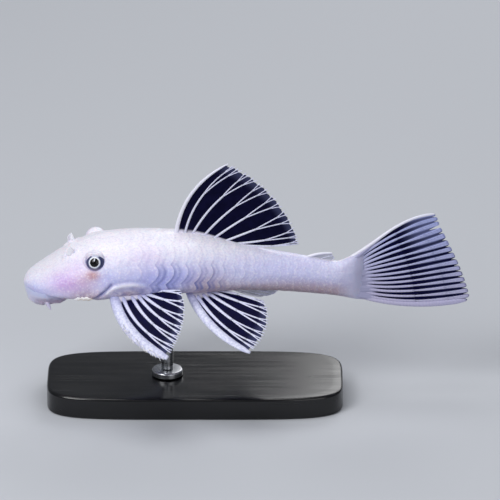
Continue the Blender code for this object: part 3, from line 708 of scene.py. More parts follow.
class Flank:
    """The left half of the skin on a grid: points of the smooth body, their outward normals, and the height
    that pushes each one out. Each step adds one feature and keeps the strengths that its colours follow."""

    def __init__(self):
        """Lays the grid, with bowed and leaning rows where plates lie, and adds the features in turn."""
        rows, self.through, self.pitch = skin_rows()
        columns = np.linspace(0.0, 1.0, COLUMNS)
        self.share = crowded(columns, lambda u: 0.85 + 0.9 * bell(u - 0.28, 0.09))[None, :]
        self.plated = smooth_step(23.5, 27.5, rows) * (1 - smooth_step(85.5, 88.0, rows))
        self.x = np.clip(rows + self.pitch * edge_lean(self.share) * self.plated, 0.0, SKIN_END)
        self.base = skin_points(self.x, self.share)
        self.normal = unit(np.cross(np.gradient(self.base, axis=1), np.gradient(self.base, axis=0)))
        self.normal[0] = (-1.0, 0.0, 0.0)
        for edge in (0, -1):
            self.normal[:, edge] = unit(self.normal[:, edge] * (1, 0, 1))
        self.side = smooth_step(5.0, 8.0, -self.base[..., 1])
        self.lay_plates()
        self.open_eye()
        self.cut_gill()
        self.raise_girdle()
        self.pierce_nostril()
        self.part_skull()
        uneven = 0.05 * ripple(self.base, 3.2, 4) + 0.028 * ripple(self.base, 1.1, 5)
        self.height += uneven * (1 - 0.8 * self.near_eye)
        self.height *= smooth_step(0.0, 1.0, rows)

    def lay_plates(self):
        """Bony plates: each rises as sin^1.2 to its rear edge, crowned across its row. They are strongest in
        the middle of the flank and missing on the naked belly and the shoulder."""
        share, phase = self.share, row_phase(self.share)
        belly = smooth_step(0.78, 0.86, share)
        belly = belly * (1 - smooth_step(NAKED_BELLY_END - 4, NAKED_BELLY_END + 6, self.x))
        self.ridge_away, self.ridge_along = away_from_line(self.base, GIRDLE_RIDGE)
        self.armour = self.plated * (1 - belly) * (1 - 0.9 * bell(self.ridge_away, 2.4) * (share > 0.2))
        middle = smooth_step(0.26, 0.4, share) * smooth_step(0.7, 0.56, share) * bell(self.x - 42.0, 12.0)
        self.mid_flank = middle * np.clip(0.62 + 0.5 * ripple(self.base, 7.0, 11), 0.15, 1.0)
        crown = 0.35 + 0.65 * (1 - np.abs(2 * phase - 1) ** 3)
        length = 0.55 + 0.45 * np.clip(self.pitch / 4.0, 0.4, 1.0)
        rise = np.sin(0.5 * math.pi * np.clip(self.through, 0.0, 1.0)) ** 1.2
        self.near_row = np.minimum(phase, 1 - phase)
        groove = 0.04 * bell(self.near_row, 0.09) * smooth_step(0.02, 0.1, share)
        shown = 0.42 + 0.58 * self.mid_flank
        self.height = self.armour * shown * (PLATE_LIFT * crown * length * rise - groove)

    def open_eye(self):
        """Lids are a sphere round the eye, met along each normal. In an oval about the line of sight the skin
        sinks to just under the eyeball. A rim and, above, a fold run round that opening."""
        base, normal = self.base, self.normal
        lids = reach_sphere(base, normal, LID_CENTRE, LID_RADIUS, -np.inf)
        lidded = np.maximum(self.height, lids) + 0.175 * np.exp(-np.abs(self.height - lids) / 0.4)
        moved = base + normal * lidded[..., None]
        away = moved - EYE_CENTRE
        sight, up, across = eye_axes()
        angle = np.arccos(np.clip((unit(away) * sight).sum(-1), -1, 1))
        turn = np.arctan2((away * up).sum(-1), (away * across).sum(-1))
        above_or_below = np.where(turn > 0, *LID_ANGLES[1:])
        lid = angle * np.hypot(np.cos(turn) / LID_ANGLES[0], np.sin(turn) / above_or_below)
        near = smooth_step(3.8, 3.1, np.linalg.norm(away, axis=-1))
        off_line = np.linalg.norm(np.cross(base - EYE_CENTRE, normal), axis=-1)
        self.opening = near * smooth_step(1.06, 0.95, lid) * smooth_step(SOCKET_RADIUS, 2.3, off_line)
        sunk = reach_sphere(base, normal, EYE_CENTRE, SOCKET_RADIUS, lidded)
        height = lidded + (np.minimum(sunk, lidded) - lidded) * self.opening
        self.lid_fold = near * bell(lid - 1.25, 0.06) * smooth_step(-0.2, 0.6, np.sin(turn))
        height += 0.06 * near * bell(lid - 1.12, 0.09) - 0.05 * self.lid_fold
        from_ball = np.linalg.norm(base + normal * height[..., None] - EYE_CENTRE, axis=-1) - EYE_RADIUS
        # Below the eye, a band along the eyeball's edge that takes painted shade
        self.socket = near * bell(from_ball, 0.28) * smooth_step(0.8, 0.2, np.sin(turn))
        x, y, z = np.moveaxis(moved, -1, 0)
        crescent = bell(np.hypot(x - CRESCENT_X, z - CRESCENT_Z) - CRESCENT_RADIUS, 0.3)
        crescent = near * crescent * (y > -8.7)
        self.crescent = crescent * smooth_step(11.2, 12.3, z)
        self.near_eye, self.height = near, height

    def cut_gill(self):
        """A groove along the gill slit, under the slightly raised rear edge of the gill cover."""
        away, along = away_from_line(self.base, GILL_SLIT)
        ends = smooth_step(0.0, 0.1, along) * (1 - 0.75 * smooth_step(0.55, 1.0, along))
        self.slit = self.side * bell(away, 0.34) * ends
        cover = self.side * smooth_step(3.2, 0.4, away) * smooth_step(24.4, 22.6, self.x) * ends
        self.height += 0.28 * cover * (1 - bell(away, 0.5)) - 0.42 * self.slit

    def raise_girdle(self):
        """The shoulder girdle's ridge, and rough naked skin below it and low on the cheek."""
        base, away, along = self.base, self.ridge_away, self.ridge_along
        ridge = self.side * bell(away, 0.6) * smooth_step(0.0, 0.12, along + 0.02)
        self.ridge = ridge * (1 - 0.7 * smooth_step(0.7, 1.0, along))
        self.height += 0.42 * self.ridge * (1 + 0.3 * ripple(base, 2.4, 31))
        self.under_ridge = 0.8 * self.side * bell(away - 1.2, 0.45) * (base[..., 2] > 2.0)
        self.cheek = self.side * bell(self.x - 17.5, 4.5) * bell(base[..., 2] - 1.6, 2.2)
        self.girdle = self.side * bell(self.x - 28.5, 4.6) * bell(base[..., 2] - 2.6, 2.0)
        self.rough = 0.6 * self.cheek + self.girdle
        # Lumps of the rough skin, whose tops take painted highlight and whose dips take painted shade
        self.lumps = ripple(base, 1.5, 23) + 0.6 * ripple(base, 0.8, 24)
        self.height += 0.09 * self.lumps * self.rough

    def pierce_nostril(self):
        """Two pits with raised rims, ahead of the flap and behind it."""
        self.pits, rims = 0.0, 0.0
        for along, deep in ((-0.75, 1.0), (1.25, 0.7)):
            away = np.linalg.norm(self.base - skin_points(NOSTRIL[0] + along, NOSTRIL[1]), axis=-1)
            self.pits = self.pits + deep * bell(away, 0.5)
            rims = rims + deep * bell(away - 0.95, 0.38)
        self.height += 0.34 * np.clip(rims, 0, 1) - 0.5 * self.pits

    def part_skull(self):
        """Shallow seams between the plates of the skull, over the crown and from the eye to the shoulder."""
        flat = points_at(self.x, 0.0, self.share * HALF_GIRTH)
        seams = 0.0
        for line, depth in SKULL_SEAMS:
            away, _ = away_from_line(flat, np.array(line) * (1.0, HALF_GIRTH))
            seams = seams + depth * bell(away, 0.28)
        self.seams = np.clip(seams, 0, 1) * (1 - self.opening)
        self.height -= 0.06 * self.seams

    def points(self):
        """The smooth body's points pushed out, with both edges kept in the middle plane."""
        points = self.base + self.normal * self.height[..., None]
        points[:, (0, -1), 1] = 0.0
        return points

    def patches(self, zone):
        """Sum of a zone's soft patches: strength * exp(-(dx^2 + dy^2 + dz^2)), each in half sizes."""
        total = 0.0
        for strength, centre, size in PATCHES.get(zone, ()):
            total = total + strength * np.exp(-(((self.base - centre) / size) ** 2).sum(-1))
        return total

    def tints(self):
        """Strength of each colour zone at each point, by its name in the skin's material."""
        x, share, through, armour, middle = self.x, self.share, self.through, self.armour, self.mid_flank
        back, belly = body_curve(x, BACK), body_curve(x, BELLY)
        high = np.clip((self.base[..., 2] - belly) / (back - belly + 1e-6), 0, 1)
        rear = smooth_step(56.0, 78.0, x)
        lower_half = smooth_step(0.42, 0.56, share)
        # Painted shade: dark lines behind the plates' rear edges, and a shade that fades backwards over each
        # plate
        lines = armour * np.select(((through > 0.4) & (through < 0.5), through == 0.0), (1.0, 0.7))
        lines = lines * (0.12 + 0.88 * middle)
        hollow = middle * armour * (through >= 0) * smooth_step(0.7, 0.0, through)
        belly_light = 1 - 0.8 * smooth_step(38.0, 52.0, x) * smooth_step(0.4, 0.1, high)
        strength = {
            # Painted shade, lavender: darker towards the belly and towards the tail, less on the rear belly
            "cool": (
                0.32 * (1 - smooth_step(0.25, 0.95, high)) * belly_light
                + 0.3 * rear * smooth_step(0.1, 0.5, high),
                0.95,
            ),
            "blush": (0.0, 1.0),
            "sore": (0.0, 1.0),
            # Painted shade low on the tail stalk and rear belly and below the eye, and the rough skin's warm
            # tone on girdle and cheek
            "warm_tone_and_shade": (
                0.9 * rear * (1 - smooth_step(0.2, 0.65, high)) * smooth_step(91.0, 84.0, x)
                + 0.85 * smooth_step(38.0, 50.0, x) * smooth_step(0.5, 0.1, high) * (1 - rear)
                + 0.75 * self.girdle
                + 0.85 * self.cheek
                + 0.4 * self.socket,
                0.9,
            ),
            # Painted highlights on the girdle's ridge, along the top of the tail stalk, on plates' rear edges
            # and on the rough skin's lumps
            "crest": (
                0.6 * self.ridge
                + 0.7 * smooth_step(0.07, 0.0, share) * smooth_step(72.0, 84.0, x)
                + 0.1 * (through > 0.9) * armour
                + 0.5 * self.rough * np.clip(self.lumps, 0, 1),
                0.8,
            ),
            # Painted shade over the end of the tail stalk
            "tail_end_shade": (smooth_step(82.0, 91.0, x), 1.0),
            # Painted shade in plate steps, grooves, gill slit, lid fold, below the eye, pits and dips; dark
            # seams, crescent
            "crease": (
                (0.7 + 0.25 * lower_half) * lines
                + (0.35 + 0.25 * lower_half) * hollow
                + 0.12 * armour * middle * bell(self.near_row, 0.07)
                + 0.75 * self.slit
                + 0.4 * self.lid_fold
                + 0.35 * self.crescent
                + 0.85 * self.socket
                + 0.55 * self.rough * np.clip(-self.lumps, 0, 1)
                + 0.1 * self.seams * (1 - smooth_step(23.0, 26.0, x))
                + 0.35 * np.clip(self.pits, 0, 1)
                + 0.32 * self.under_ridge,
                0.9,
            ),
        }
        return {
            zone: np.clip(value + self.patches(zone), 0, most) for zone, (value, most) in strength.items()
        }


def make_skin(material):
    """One closed skin over head, body and tail stalk: the left flank, its mirror image and closed ends."""
    flank = Flank()
    points, tints = flank.points(), flank.tints()
    other = slice(-2, 0, -1)
    ring = np.concatenate((points, mirrored(points[:, other], -1.0)), axis=1)
    ring = np.concatenate((ring, pole(ring[-1:])), axis=0)
    for zone, value in tints.items():
        value = np.concatenate((value, value[:, other]), axis=1)
        tints[zone] = np.concatenate((value, value[-1:]), axis=0)
    Surface().grid(ring, **tints).piece("armoured_skin", material, "skin", ("head", "trunk", "tail"))


# Eyes, nostrils and mouth


def make_eyes(material):
    """Balls drawn as rings about the line of sight. ring is the distance from that line, and lobe is the
    signed distance from the pale tongue, a capsule that hangs into the pupil from above."""
    tilt = np.concatenate((np.linspace(0, 0.5, 26), np.linspace(0.5, math.pi, 40)[1:]))[:, None]
    turn = around(72)
    sight, up, across = eye_axes()
    flat = EYE_RADIUS * np.sin(tilt)
    u, v = flat * np.cos(turn), flat * np.sin(turn)
    bulge = EYE_RADIUS * np.cos(tilt) + 0.12 * bell(flat, 1.4) * (tilt < 1.5)
    ball = EYE_CENTRE + across * u[..., None] + up * v[..., None] + sight * bulge[..., None]
    lobe = np.hypot(u, v - np.clip(v, 0.45, 1.4)) - 0.06 - 0.1 * np.clip(v, 0.0, 1.2)
    under = smooth_step(-0.9, -2.0, v) * smooth_step(1.55, 1.75, flat)
    over = smooth_step(0.78, 0.95, v / np.maximum(flat, 1e-6)) * smooth_step(1.45, 1.6, flat)
    for name, side in SIDES:
        eye = Surface().grid(mirrored(ball, side), ring=flat, lobe=lobe, under=under, over=over)
        eye.piece("eyeball_" + name, material, "eye", ("eye_" + name,))


def make_nostril_flaps(material):
    """A leaf of skin curled into a half pipe between each nostril's two openings: height t along the outward
    direction, angle a round the pipe, taller in the middle, with an outer and an inner face."""
    x, share = NOSTRIL
    here = skin_points(np.array([[x], [x + 0.1]]), np.array([[share, share + 0.004]]))
    out = unit(np.cross(here[0, 1] - here[0, 0], here[1, 0] - here[0, 0]))
    forward = unit(np.array((-1.0, 0.0, 0.0)) - out * -out[0])
    inward = np.cross(out, forward)
    inward = inward * np.sign(inward[1])
    out = unit(out + np.array((0.3, 0.0, 0.9)))
    columns, half_turn, heading = 25, math.radians(104.0), math.radians(218.0)
    t = np.linspace(0.0, 1.0, 20)[:, None]
    a = np.linspace(-half_turn, half_turn, columns)[None, :]
    tall = 0.4 + 1.9 * np.maximum(np.cos(a / half_turn * math.pi / 2), 0.0) ** 0.22
    thin = (1 - 0.45 * t) * np.where(np.isclose(np.abs(a), half_turn), 0.15, 1.0)
    faces = []
    for thick in (0.11, -0.11):
        radius = 1.15 - 0.38 * t**1.3 + thick * thin
        face = here[0, 0] + (radius * np.cos(a + heading) - 0.35 + 0.5 * t)[..., None] * forward
        face = face + (radius * np.sin(a + heading) * 0.8)[..., None] * inward
        faces.append(face + (-0.5 + (0.5 + tall) * t)[..., None] * out)
    flap = leaf(*faces)
    fade = padded_rows(1 - t[:, 0])
    # Painted shade on the inner face fading up the flap, a painted highlight that whitens it, and lavender
    # painted shade
    crease = np.repeat((0.0, 0.12), columns)[None, :] * fade
    for name, side in SIDES:
        shape = Surface().grid(mirrored(flap, side), cool=0.1, blush=0.15 * fade, crest=0.7, crease=crease)
        shape.piece("nostril_flap_" + name, material, "skin")


def from_back(turn):
    """The size of an angle measured from straight back, 0 to pi."""
    return np.abs((turn + math.pi) % (2 * math.pi) - math.pi)


def snout_outline(z, turn):
    """Distance from the mouth's middle to the snout's side at this height, in the direction turn."""
    x = 14.0 * np.linspace(0.0, 1.0, 200) ** 2
    down = (body_curve(x, WIDEST) - z) / (body_curve(x, WIDEST) - body_curve(x, BELLY) + 1e-9)
    power = np.interp(x, *BELLY_SQUARENESS)
    y = body_curve(x, HALF_WIDTH) * (1 - np.clip(down, 0, 1) ** power) ** (1 / power)
    return np.interp(from_back(turn), np.arctan2(y, x - MOUTH_X)[::-1], np.hypot(y, x - MOUTH_X)[::-1])


def make_lips(material):
    """The disc is ovals x = c + a cos t, y = b sin t, a longer ahead than behind, whose sizes follow one
    smooth profile, with a hexagonal field of papillae. An apron, (1 - s)^2 a + 2 s (1 - s) b + s^2 c, drops
    straight down from the snout's own outline a and turns in to the first oval c, so that no crease shows
    ahead. A barbel, a tapering tube along a quadratic curve, stands at each corner."""
    columns = 200
    fine = np.linspace(0, len(LIP_RINGS) - 1, 84)
    profile = np.stack([np.interp(fine, np.arange(len(LIP_RINGS)), size) for size in LIP_RINGS.T], axis=1)
    for _ in range(3):
        profile[1:-1] = (profile[:-2] + 2 * profile[1:-1] + profile[2:]) / 4
    turn, fine = around(columns), fine[:, None]
    centre, ahead, behind, wide, z = (size[:, None] for size in profile.T)
    x = centre + np.where(np.cos(turn) < 0, ahead, behind) * np.cos(turn)
    y = wide * np.sin(turn)
    fold = 0.16 * bell(np.abs(np.sin(turn)) - 1.0, 0.12) * bell(fine - 3.5, 2.5)
    z = z + fold - 0.22 * smooth_step(0.9, -1.5, z) * np.maximum(0.0, MOUTH_X - x)
    a, b = x / PAPILLA_SPACING, 0.866 * y / PAPILLA_SPACING
    hexes = sum(np.cos(2 * math.pi * wave) for wave in (a, a / 2 + b, a / 2 - b))
    papilla = np.clip((hexes + 0.4) / 3.4, 0, 1) * smooth_step(1.6, 3.0, fine) * smooth_step(7.2, 6.0, fine)
    disc = points_at(x, y, z - PAPILLA_HEIGHT * papilla)

    front = smooth_step(0.32 * math.pi, 0.56 * math.pi, from_back(turn))
    top = front * (snout_outline(LIP_TOP, turn) - 0.06) + (1 - front) * LIP_ROOT_RADIUS
    rim = points_at(MOUTH_X + top * np.cos(turn), top * np.sin(turn), LIP_TOP)
    s = np.linspace(0, 1, 26)[:-1, None, None]
    blend = front[..., None]
    below = blend * (rim - blend * np.array((0.0, 0.0, 1.5))) + (1 - blend) * 0.5 * (rim + disc[:1])
    apron = curve(s, rim, below, disc[:1])
    disc = np.concatenate((pole(rim), apron, disc), axis=0)
    papilla = np.concatenate((np.zeros((len(apron) + 1, columns)), papilla), axis=0)
    inner = np.maximum(smooth_step(1.0, 8.5, fine), 0.12)
    inner = np.concatenate((np.zeros((1, 1)), 0.12 * smooth_step(0.5, 0.9, s[:, 0]), inner), axis=0)
    # Painted shade: the lips darken on their lower side, back from the front
    rear = smooth_step(1.0, 5.0, disc[..., 0]) * smooth_step(0.6, -1.6, disc[..., 2])
    inner = inner + (1 - inner) * 0.42 * rear
    wrinkle = 0.11 * rear * (ripple(disc, 1.9, 41) + 0.6 * ripple(disc, 0.9, 42))
    disc = disc + wrinkle[..., None] * unit(disc - np.array((MOUTH_X, 0.0, 0.5)))
    lips = Surface().grid(disc, papilla=0.45 * papilla, inner=inner)

    t = np.linspace(0, 1, 24)[:, None]
    path = curve(t, *np.array(((6.3, -6.0, -1.5), (6.5, -7.6, -1.9), (7.5, -8.2, -3.6))))
    radius = 0.85 * (1 - t[:, 0]) ** 0.8 + 0.1
    for _, side in SIDES:
        barbel = tube(mirrored(path, side), radius, radius, np.array((1.0, 0.0, 0.0)), 12)
        lips.grid(barbel, papilla=0.1, inner=0.3)
    lips.piece("sucker_lips", material, "skin", ("lips",))


def make_teeth(material):
    """Two bowed rows of hooked teeth in each jaw, each a tapering tube along a quadratic curve."""
    teeth = Surface()
    t = np.linspace(0, 1, 6)[:, None]
    radius = 0.06 * (1 - 0.6 * t[:, 0])
    for jaw, reach in ((-1.0, 0.85), (1.0, 0.75)):
        hook = t * np.array((-jaw * 0.05, 0.0, -0.95)) + t**2 * np.array((-jaw * 0.4, 0, 0.1))
        for side in (-1.0, 1.0):
            for s in np.arange(TEETH_PER_ROW) / (TEETH_PER_ROW - 1):
                foot = np.array((6.6 + jaw * (0.55 + reach * 0.5 * s), side * (0.35 + 1.9 * s), -1.0))
                tooth = tube(foot + hook, radius, radius, np.array((0.0, 1.0, 0.0)), 6)
                teeth.grid(tooth, tip=padded_rows(t[:, 0]))
    teeth.piece("teeth", material, "skin")


def make_cheek_hooks(material):
    """Backward hooks low on each cheek: quadratic curves that lift away and sweep back, long ones last."""
    t = np.linspace(0, 1, 14)[:, None]
    radius = 0.28 * (1 - t[:, 0]) ** 0.7 + 0.04
    for name, side in SIDES:
        hooks = Surface()
        for k in range(9):
            row, place = k % 3, k // 3
            root = skin_points(14.0 + 1.0 * place + 0.45 * row, 0.655 - 0.03 * row - 0.006 * place)
            out, back = 0.75 + 0.12 * place, 1.5 + 0.35 * place
            swing = np.array((back * 0.35, -out, -0.15)) * 2 * t * (1 - t)
            swing = swing + np.array((back, -out * 0.9, -0.35)) * t**2
            path = mirrored(root + np.array((-0.2, 0.3, 0.1)) + swing, side)
            hooks.grid(tube(path, radius, radius, np.array((0.0, 0.3, 1.0)), 8), tip=padded_rows(t[:, 0]))
        hooks.piece("cheek_hooks_" + name, material, "skin")


# Fins

# The paired fins droop outwards from their roots
DROOP = math.radians(27.0)
PECTORAL_ROOT = (24.4, 12.2, 1.2)
PELVIC_ROOT = (44.8, 8.7, -0.2)
SPINE_HOOKS = 52


def upright(a, b, c):
    """A plane that stands on the back: a back, b up, c to the right."""
    return points_at(a, c, b)


def hanging(a, b, c):
    """A plane that hangs from the belly: a back, b down, c to the right."""
    return points_at(a, c, -b)


def spread(root, side):
    """A paired fin's plane, DROOP below level: a back, b outwards, c up. side is as in SIDES."""
    flat, down = math.cos(DROOP), math.sin(DROOP)

    def place(a, b, c):
        """The point at (a, b, c) of this plane."""
        out = root[1] + b * flat + c * down
        return points_at(root[0] + a, -side * out, root[2] - b * down + c * flat)

    return place


def through_plane(place):
    """The direction out of a fin's plane."""
    zero, one = np.zeros(1), np.ones(1)
    return unit(place(zero, zero, one) - place(zero, zero, zero))[0]


def edge_film(share, t, between):
    """The membrane clouds over a little at its free edge, at every share of the fin."""
    return 0.14 * smooth_step(0.86, 1.0, t) + 0 * share


def tail_film(share, t, between):
    """Each ray widens near its tip into a pale lobe, which leaves a narrow dark cleft. The upper lobe is
    palest."""
    lobe = smooth_step(0.58, 0.9, t) * smooth_step(0.78, 0.45, between)
    lobe = lobe * (1 - 0.55 * smooth_step(0.35, 0.6, share))
    return 0.85 * lobe + 0.3 * smooth_step(0.6, 0.95, t) * (1 - smooth_step(0.12, 0.4, share))


class Fan:
    """A fin in its plane: a runs back, b away from the body, c through it. The free edge at share u lies at
    an angle and distance from the root that are parabolas in u. A ray runs straight from its share of the
    root to its share of the edge, plus the bow 4 h t (1 - t) (1 + k (2 t - 1)) across it; fractions of a
    ray lie between rays."""

    root_curve, late_bow, camber, edge_lift = None, (0.0, 0.0, 0.0), 0.0, 0.0
    second_fork, splay, stout_last, ends = 0.84, (0.25, 0.12), False, {}
    free_tip, scallop, lobed, notch, film = 0.02, 0.03, False, (), staticmethod(edge_film)
    spine_lean, edge_white, spine_rough = 0.0, 0.5, 0.0

    def __init__(self, **sizes):
        """Takes this fin's own sizes over the common ones."""
        self.__dict__.update(sizes)
        self.rays = len(self.tips)
        self.reach = np.array([self.ends.get(ray, 1.0) for ray in range(self.rays)])

    def root(self, share):
        """(a, b) at this share of the root."""
        a = self.root_first[0] + (self.root_last[0] - self.root_first[0]) * share
        b = self.root_first[1] + (self.root_last[1] - self.root_first[1]) * share
        return a, self.root_curve(a) if self.root_curve else b

    def line(self, ray, along):
        """(a, b, c) at this ray, which may be a fraction, and share of its length."""
        numbers = np.arange(self.rays)
        along = along * np.interp(ray, numbers, self.reach)
        low, high = np.interp(ray, numbers, self.roots), np.interp(ray, numbers, self.tips)
        a0, b0 = self.root(low)
        a1, b1 = self.root(high)
        angle, length = np.radians(parabola(self.angles, high)), parabola(self.lengths, high)
        chord_a, chord_b = a1 + np.cos(angle) * length - a0, b1 + np.sin(angle) * length - b0
        late = 1 + parabola(self.late_bow, high) * (2 * along - 1)
        rise = 4 * parabola(self.bows, high) * along * (1 - along) * late / np.hypot(chord_a, chord_b)
        out = np.clip(along, 0, None)
        c = self.camber * out**2 + self.edge_lift * high * out
        c = c + 0.06 * np.sin(2.1 * ray) * smooth_step(0.3, 1.0, out)
        return a0 + chord_a * along - chord_b * rise, b0 + chord_b * along + chord_a * rise, c

    def branch(self, ray, first, second, along):
        """The ray followed by a branch: it steps aside past each fork."""
        fork, again = self.forks[ray], self.second_fork
        aside = first * self.splay[0] * np.clip((along - fork) / (0.97 - fork), 0, 1) ** 0.85
        return ray + aside + second * self.splay[1] * np.clip((along - again) / (1 - again), 0, 1)


def make_rays(name, fan, place, material, node):
    """Rays as tapering tubes, oval and wider in the fin's plane. Each soft ray forks into two, then four."""
    rays = Surface()
    through = through_plane(place)

    def stem(ray_of, start, end, wide, deep, count, tip=1.0, lean=0.0, jointed=1.0, edge=0.0, rough=0.0):
        """A tube along a ray or branch, from start to end of its length, narrowed to tip at its end."""
        t = np.linspace(start, end, count)
        path = place(*fan.line(ray_of(t), t))
        side = np.cross(unit(np.gradient(path, axis=0)), through)
        u = np.linspace(0, 1, count)
        fall = np.sqrt(np.clip(1 - smooth_step(0.9, 1.02, u) * (1 - tip**2), 0, 1))
        size, depth = (np.interp(u, np.linspace(0, 1, len(sizes)), sizes) for sizes in (wide, deep))
        passed = np.concatenate(([0.0], np.cumsum(np.linalg.norm(np.diff(path, axis=0), axis=1))))
        rays.grid(
            tube(path + side * (size * lean)[:, None], size * fall, depth * fall, side, 10),
            out=padded_rows(np.clip(t, 0, 1)),
            length_mm=padded_rows(jointed * (passed + 30 * t[0])),
            edge=edge,
            rough=rough,
            rank=0.75 * ray_of(0.0 * t[:1])[0] / (fan.rays - 1),
        )

    near, fork, far, end = fan.ray_wide
    thick, thin = fan.ray_deep
    middle, again = 0.5 * (thick + thin), fan.second_fork
    looks = {"jointed": 0.0, "edge": fan.edge_white, "rough": fan.spine_rough}
    stem(lambda t: 0.0 * t, -0.03, 1.0, fan.spine_wide, fan.spine_deep, 70, 0.45, fan.spine_lean, **looks)
    for ray in range(1, fan.rays):
        if fan.stout_last and ray == fan.rays - 1:
            stem(lambda t: ray + 0.0 * t, -0.03, 1.0, fan.last_wide, (0.6, 0.5, 0.3), 60, 0.5, fan.last_lean)
            continue
        at = fan.forks[ray]
        stem(lambda t: fan.branch(ray, 0, 0, t), -0.04, at + 0.02, (near, fork), (thick, middle), 26)
        for one in (-1, 1):
            halves = (0.68 * fork, far), (0.85 * middle, thin)
            stem(lambda t: fan.branch(ray, one, 0, t), at - 0.03, again + 0.02, *halves, 22)
            for two in (-1, 1):
                quarters = (0.8 * far, end), (thin, 0.6 * thin)
                stem(lambda t: fan.branch(ray, one, two, t), again - 0.02, 1.0, *quarters, 12, 0.4)
    rays.piece(name, material, "fin", (node,))


def make_web(name, fan, place, material, node):
    """The membrane as two sheets a small thickness apart, closed at the rim. Its free edge dips between ray
    tips, and flesh thickens it over its root."""
    last = fan.rays - 1
    ray = np.linspace(0, last, 16 * last + 1)[None, :]
    quarter = np.abs((ray * 4 + 0.5) % 1 - 0.5) * 2
    between = np.abs((ray + 0.5) % 1 - 0.5) * 2
    dip = fan.free_tip + fan.scallop * (between**5 if fan.lobed else 0.45 * quarter + 0.55 * between)
    for at, deep in fan.notch:
        dip = dip + deep * bell(ray - at, 0.22)
    t = np.linspace(0, 1, 46)[:, None] ** 0.9
    along = -0.03 + t * (1.03 - dip)
    a, b, c = fan.line(ray + 0 * along, along)
    from_root = np.clip(along, 0, None) * parabola(fan.lengths, np.interp(ray, np.arange(fan.rays), fan.tips))
    pale = (1 + 0.12 * np.sin(2.7 * ray + 1.0) + 0.1 * between) * np.interp(ray, *fan.pale_reach)
    half = 0.05 + fan.flesh * smooth_step(pale, 0.1 * pale, from_root)
    half = half * (0.3 + 0.7 * smooth_step(1.0, 0.9, t))
    half = half * (0.3 + 0.7 * smooth_step(0, 0.2, ray) * smooth_step(last, last - 0.2, ray))
    flesh = on_leaf(smooth_step(pale * 1.1, pale * 0.75, from_root))
    film = on_leaf(fan.film(ray / last, t, between))
    web = Surface().grid(leaf(place(a, b, c + half), place(a, b, c - half)), flesh=flesh, film=film)
    web.piece(name, material, "fin", (node,))


def make_fin(kind, end, fan, place, bone, web):
    """One fin's rays and web. end is what a paired fin's names end in."""
    node = f"{kind}_fin{end}"
    make_rays(f"{kind}_rays{end}", fan, place, bone, node)
    make_web(f"{kind}_web{end}", fan, place, web, node)


def make_spine_hooks(name, fan, place, material):
    """Short hooks along the outer half of a pectoral spine, leaning to its tip, each a tapering tube."""
    hooks = Surface()
    rng = np.random.default_rng(7)
    up = through_plane(place)
    t = np.linspace(0, 1, 7)[:, None]
    radius = 0.13 * (1 - 0.8 * t[:, 0])
    for k in range(SPINE_HOOKS):
        along = 0.4 + 0.57 * (k + rng.uniform(0.1, 0.9)) / SPINE_HOOKS
        here = place(*fan.line(np.zeros(2), np.array((along, along + 0.01))))
        ahead = unit(here[1] - here[0])
        edge = np.cross(ahead, up)
        edge = edge * np.sign((edge * np.array((-1.0, 0.0, -0.2))).sum())
        turn = rng.uniform(0.0, 1.0)
        out = unit(edge * math.cos(turn) + up * math.sin(turn))
        path = here[0] + out * (1.1 + 0.75 * t) + ahead * (0.55 * t + 0.35 * t**2)
        hooks.grid(tube(path, radius, radius, ahead + 0.3 * up, 6), tip=padded_rows(0.3 * t[:, 0]))
    hooks.piece(name, material, "fin")


DORSAL = Fan(
    root_first=(41.0, 0.0),
    root_last=(58.6, 0.0),
    root_curve=lambda x: body_curve(x, BACK) - 0.4,
    roots=(0.0, 0.135, 0.25, 0.42, 0.575, 0.745, 0.915, 1.0),
    tips=(0.0, 0.095, 0.265, 0.415, 0.565, 0.73, 0.9, 1.0),
    angles=(54.5, 35.0, 0.0),
    lengths=(24.2, 20.9, 15.4),
    bows=(3.2, 0.8, -0.4),
    camber=0.8,
    forks=(1, 0.5, 0.58, 0.54, 0.5, 0.47, 0.45, 0.5),
    spine_wide=(0.62, 0.5, 0.42, 0.22),
    spine_deep=(0.6, 0.45, 0.25),
    spine_lean=-0.1,
    ray_wide=(0.36, 0.27, 0.19, 0.13),
    ray_deep=(0.36, 0.19),
    flesh=0.45,
    pale_reach=((0, 7), (0.8, 0.8)),
)
ADIPOSE = Fan(
    root_first=(76.2, 0.0),
    root_last=(82.4, 0.0),
    root_curve=lambda x: body_curve(x, BACK) - 0.15,
    roots=(0.0, 0.5, 1.0),
    tips=(0.0, 0.5, 1.0),
    angles=(9.0, 16.0, 40.0),
    lengths=(6.8, 4.0, 1.5),
    bows=(0.4, 0.1, 0.0),
    forks=(1, 0.6, 1),
    spine_wide=(0.36, 0.34, 0.26),
    spine_deep=(0.45, 0.4, 0.26),
    ray_wide=(0.1, 0.1, 0.08, 0.06),
    ray_deep=(0.1, 0.08),
    flesh=0.3,
    pale_reach=((0, 2), (0.8, 0.8)),
    scallop=0.0,
)
ANAL = Fan(
    root_first=(55.2, 0.2),
    root_last=(59.0, -1.2),
    roots=(0.0, 0.3, 0.55, 0.8, 1.0),
    tips=(0.0, 0.2, 0.45, 0.72, 1.0),
    angles=(18.0, 13.0, 9.0),
    lengths=(9.4, 11.0, 9.2),
    bows=(0.5, 0.2, -0.2),
    forks=(1, 0.55, 0.55, 0.55, 0.6),
    spine_wide=(0.38, 0.3, 0.2),
    spine_deep=(0.4, 0.3, 0.2),
    ray_wide=(0.24, 0.18, 0.13, 0.1),
    ray_deep=(0.26, 0.14),
    flesh=0.35,
    pale_reach=((0, 4), (3.0, 3.0)),
)
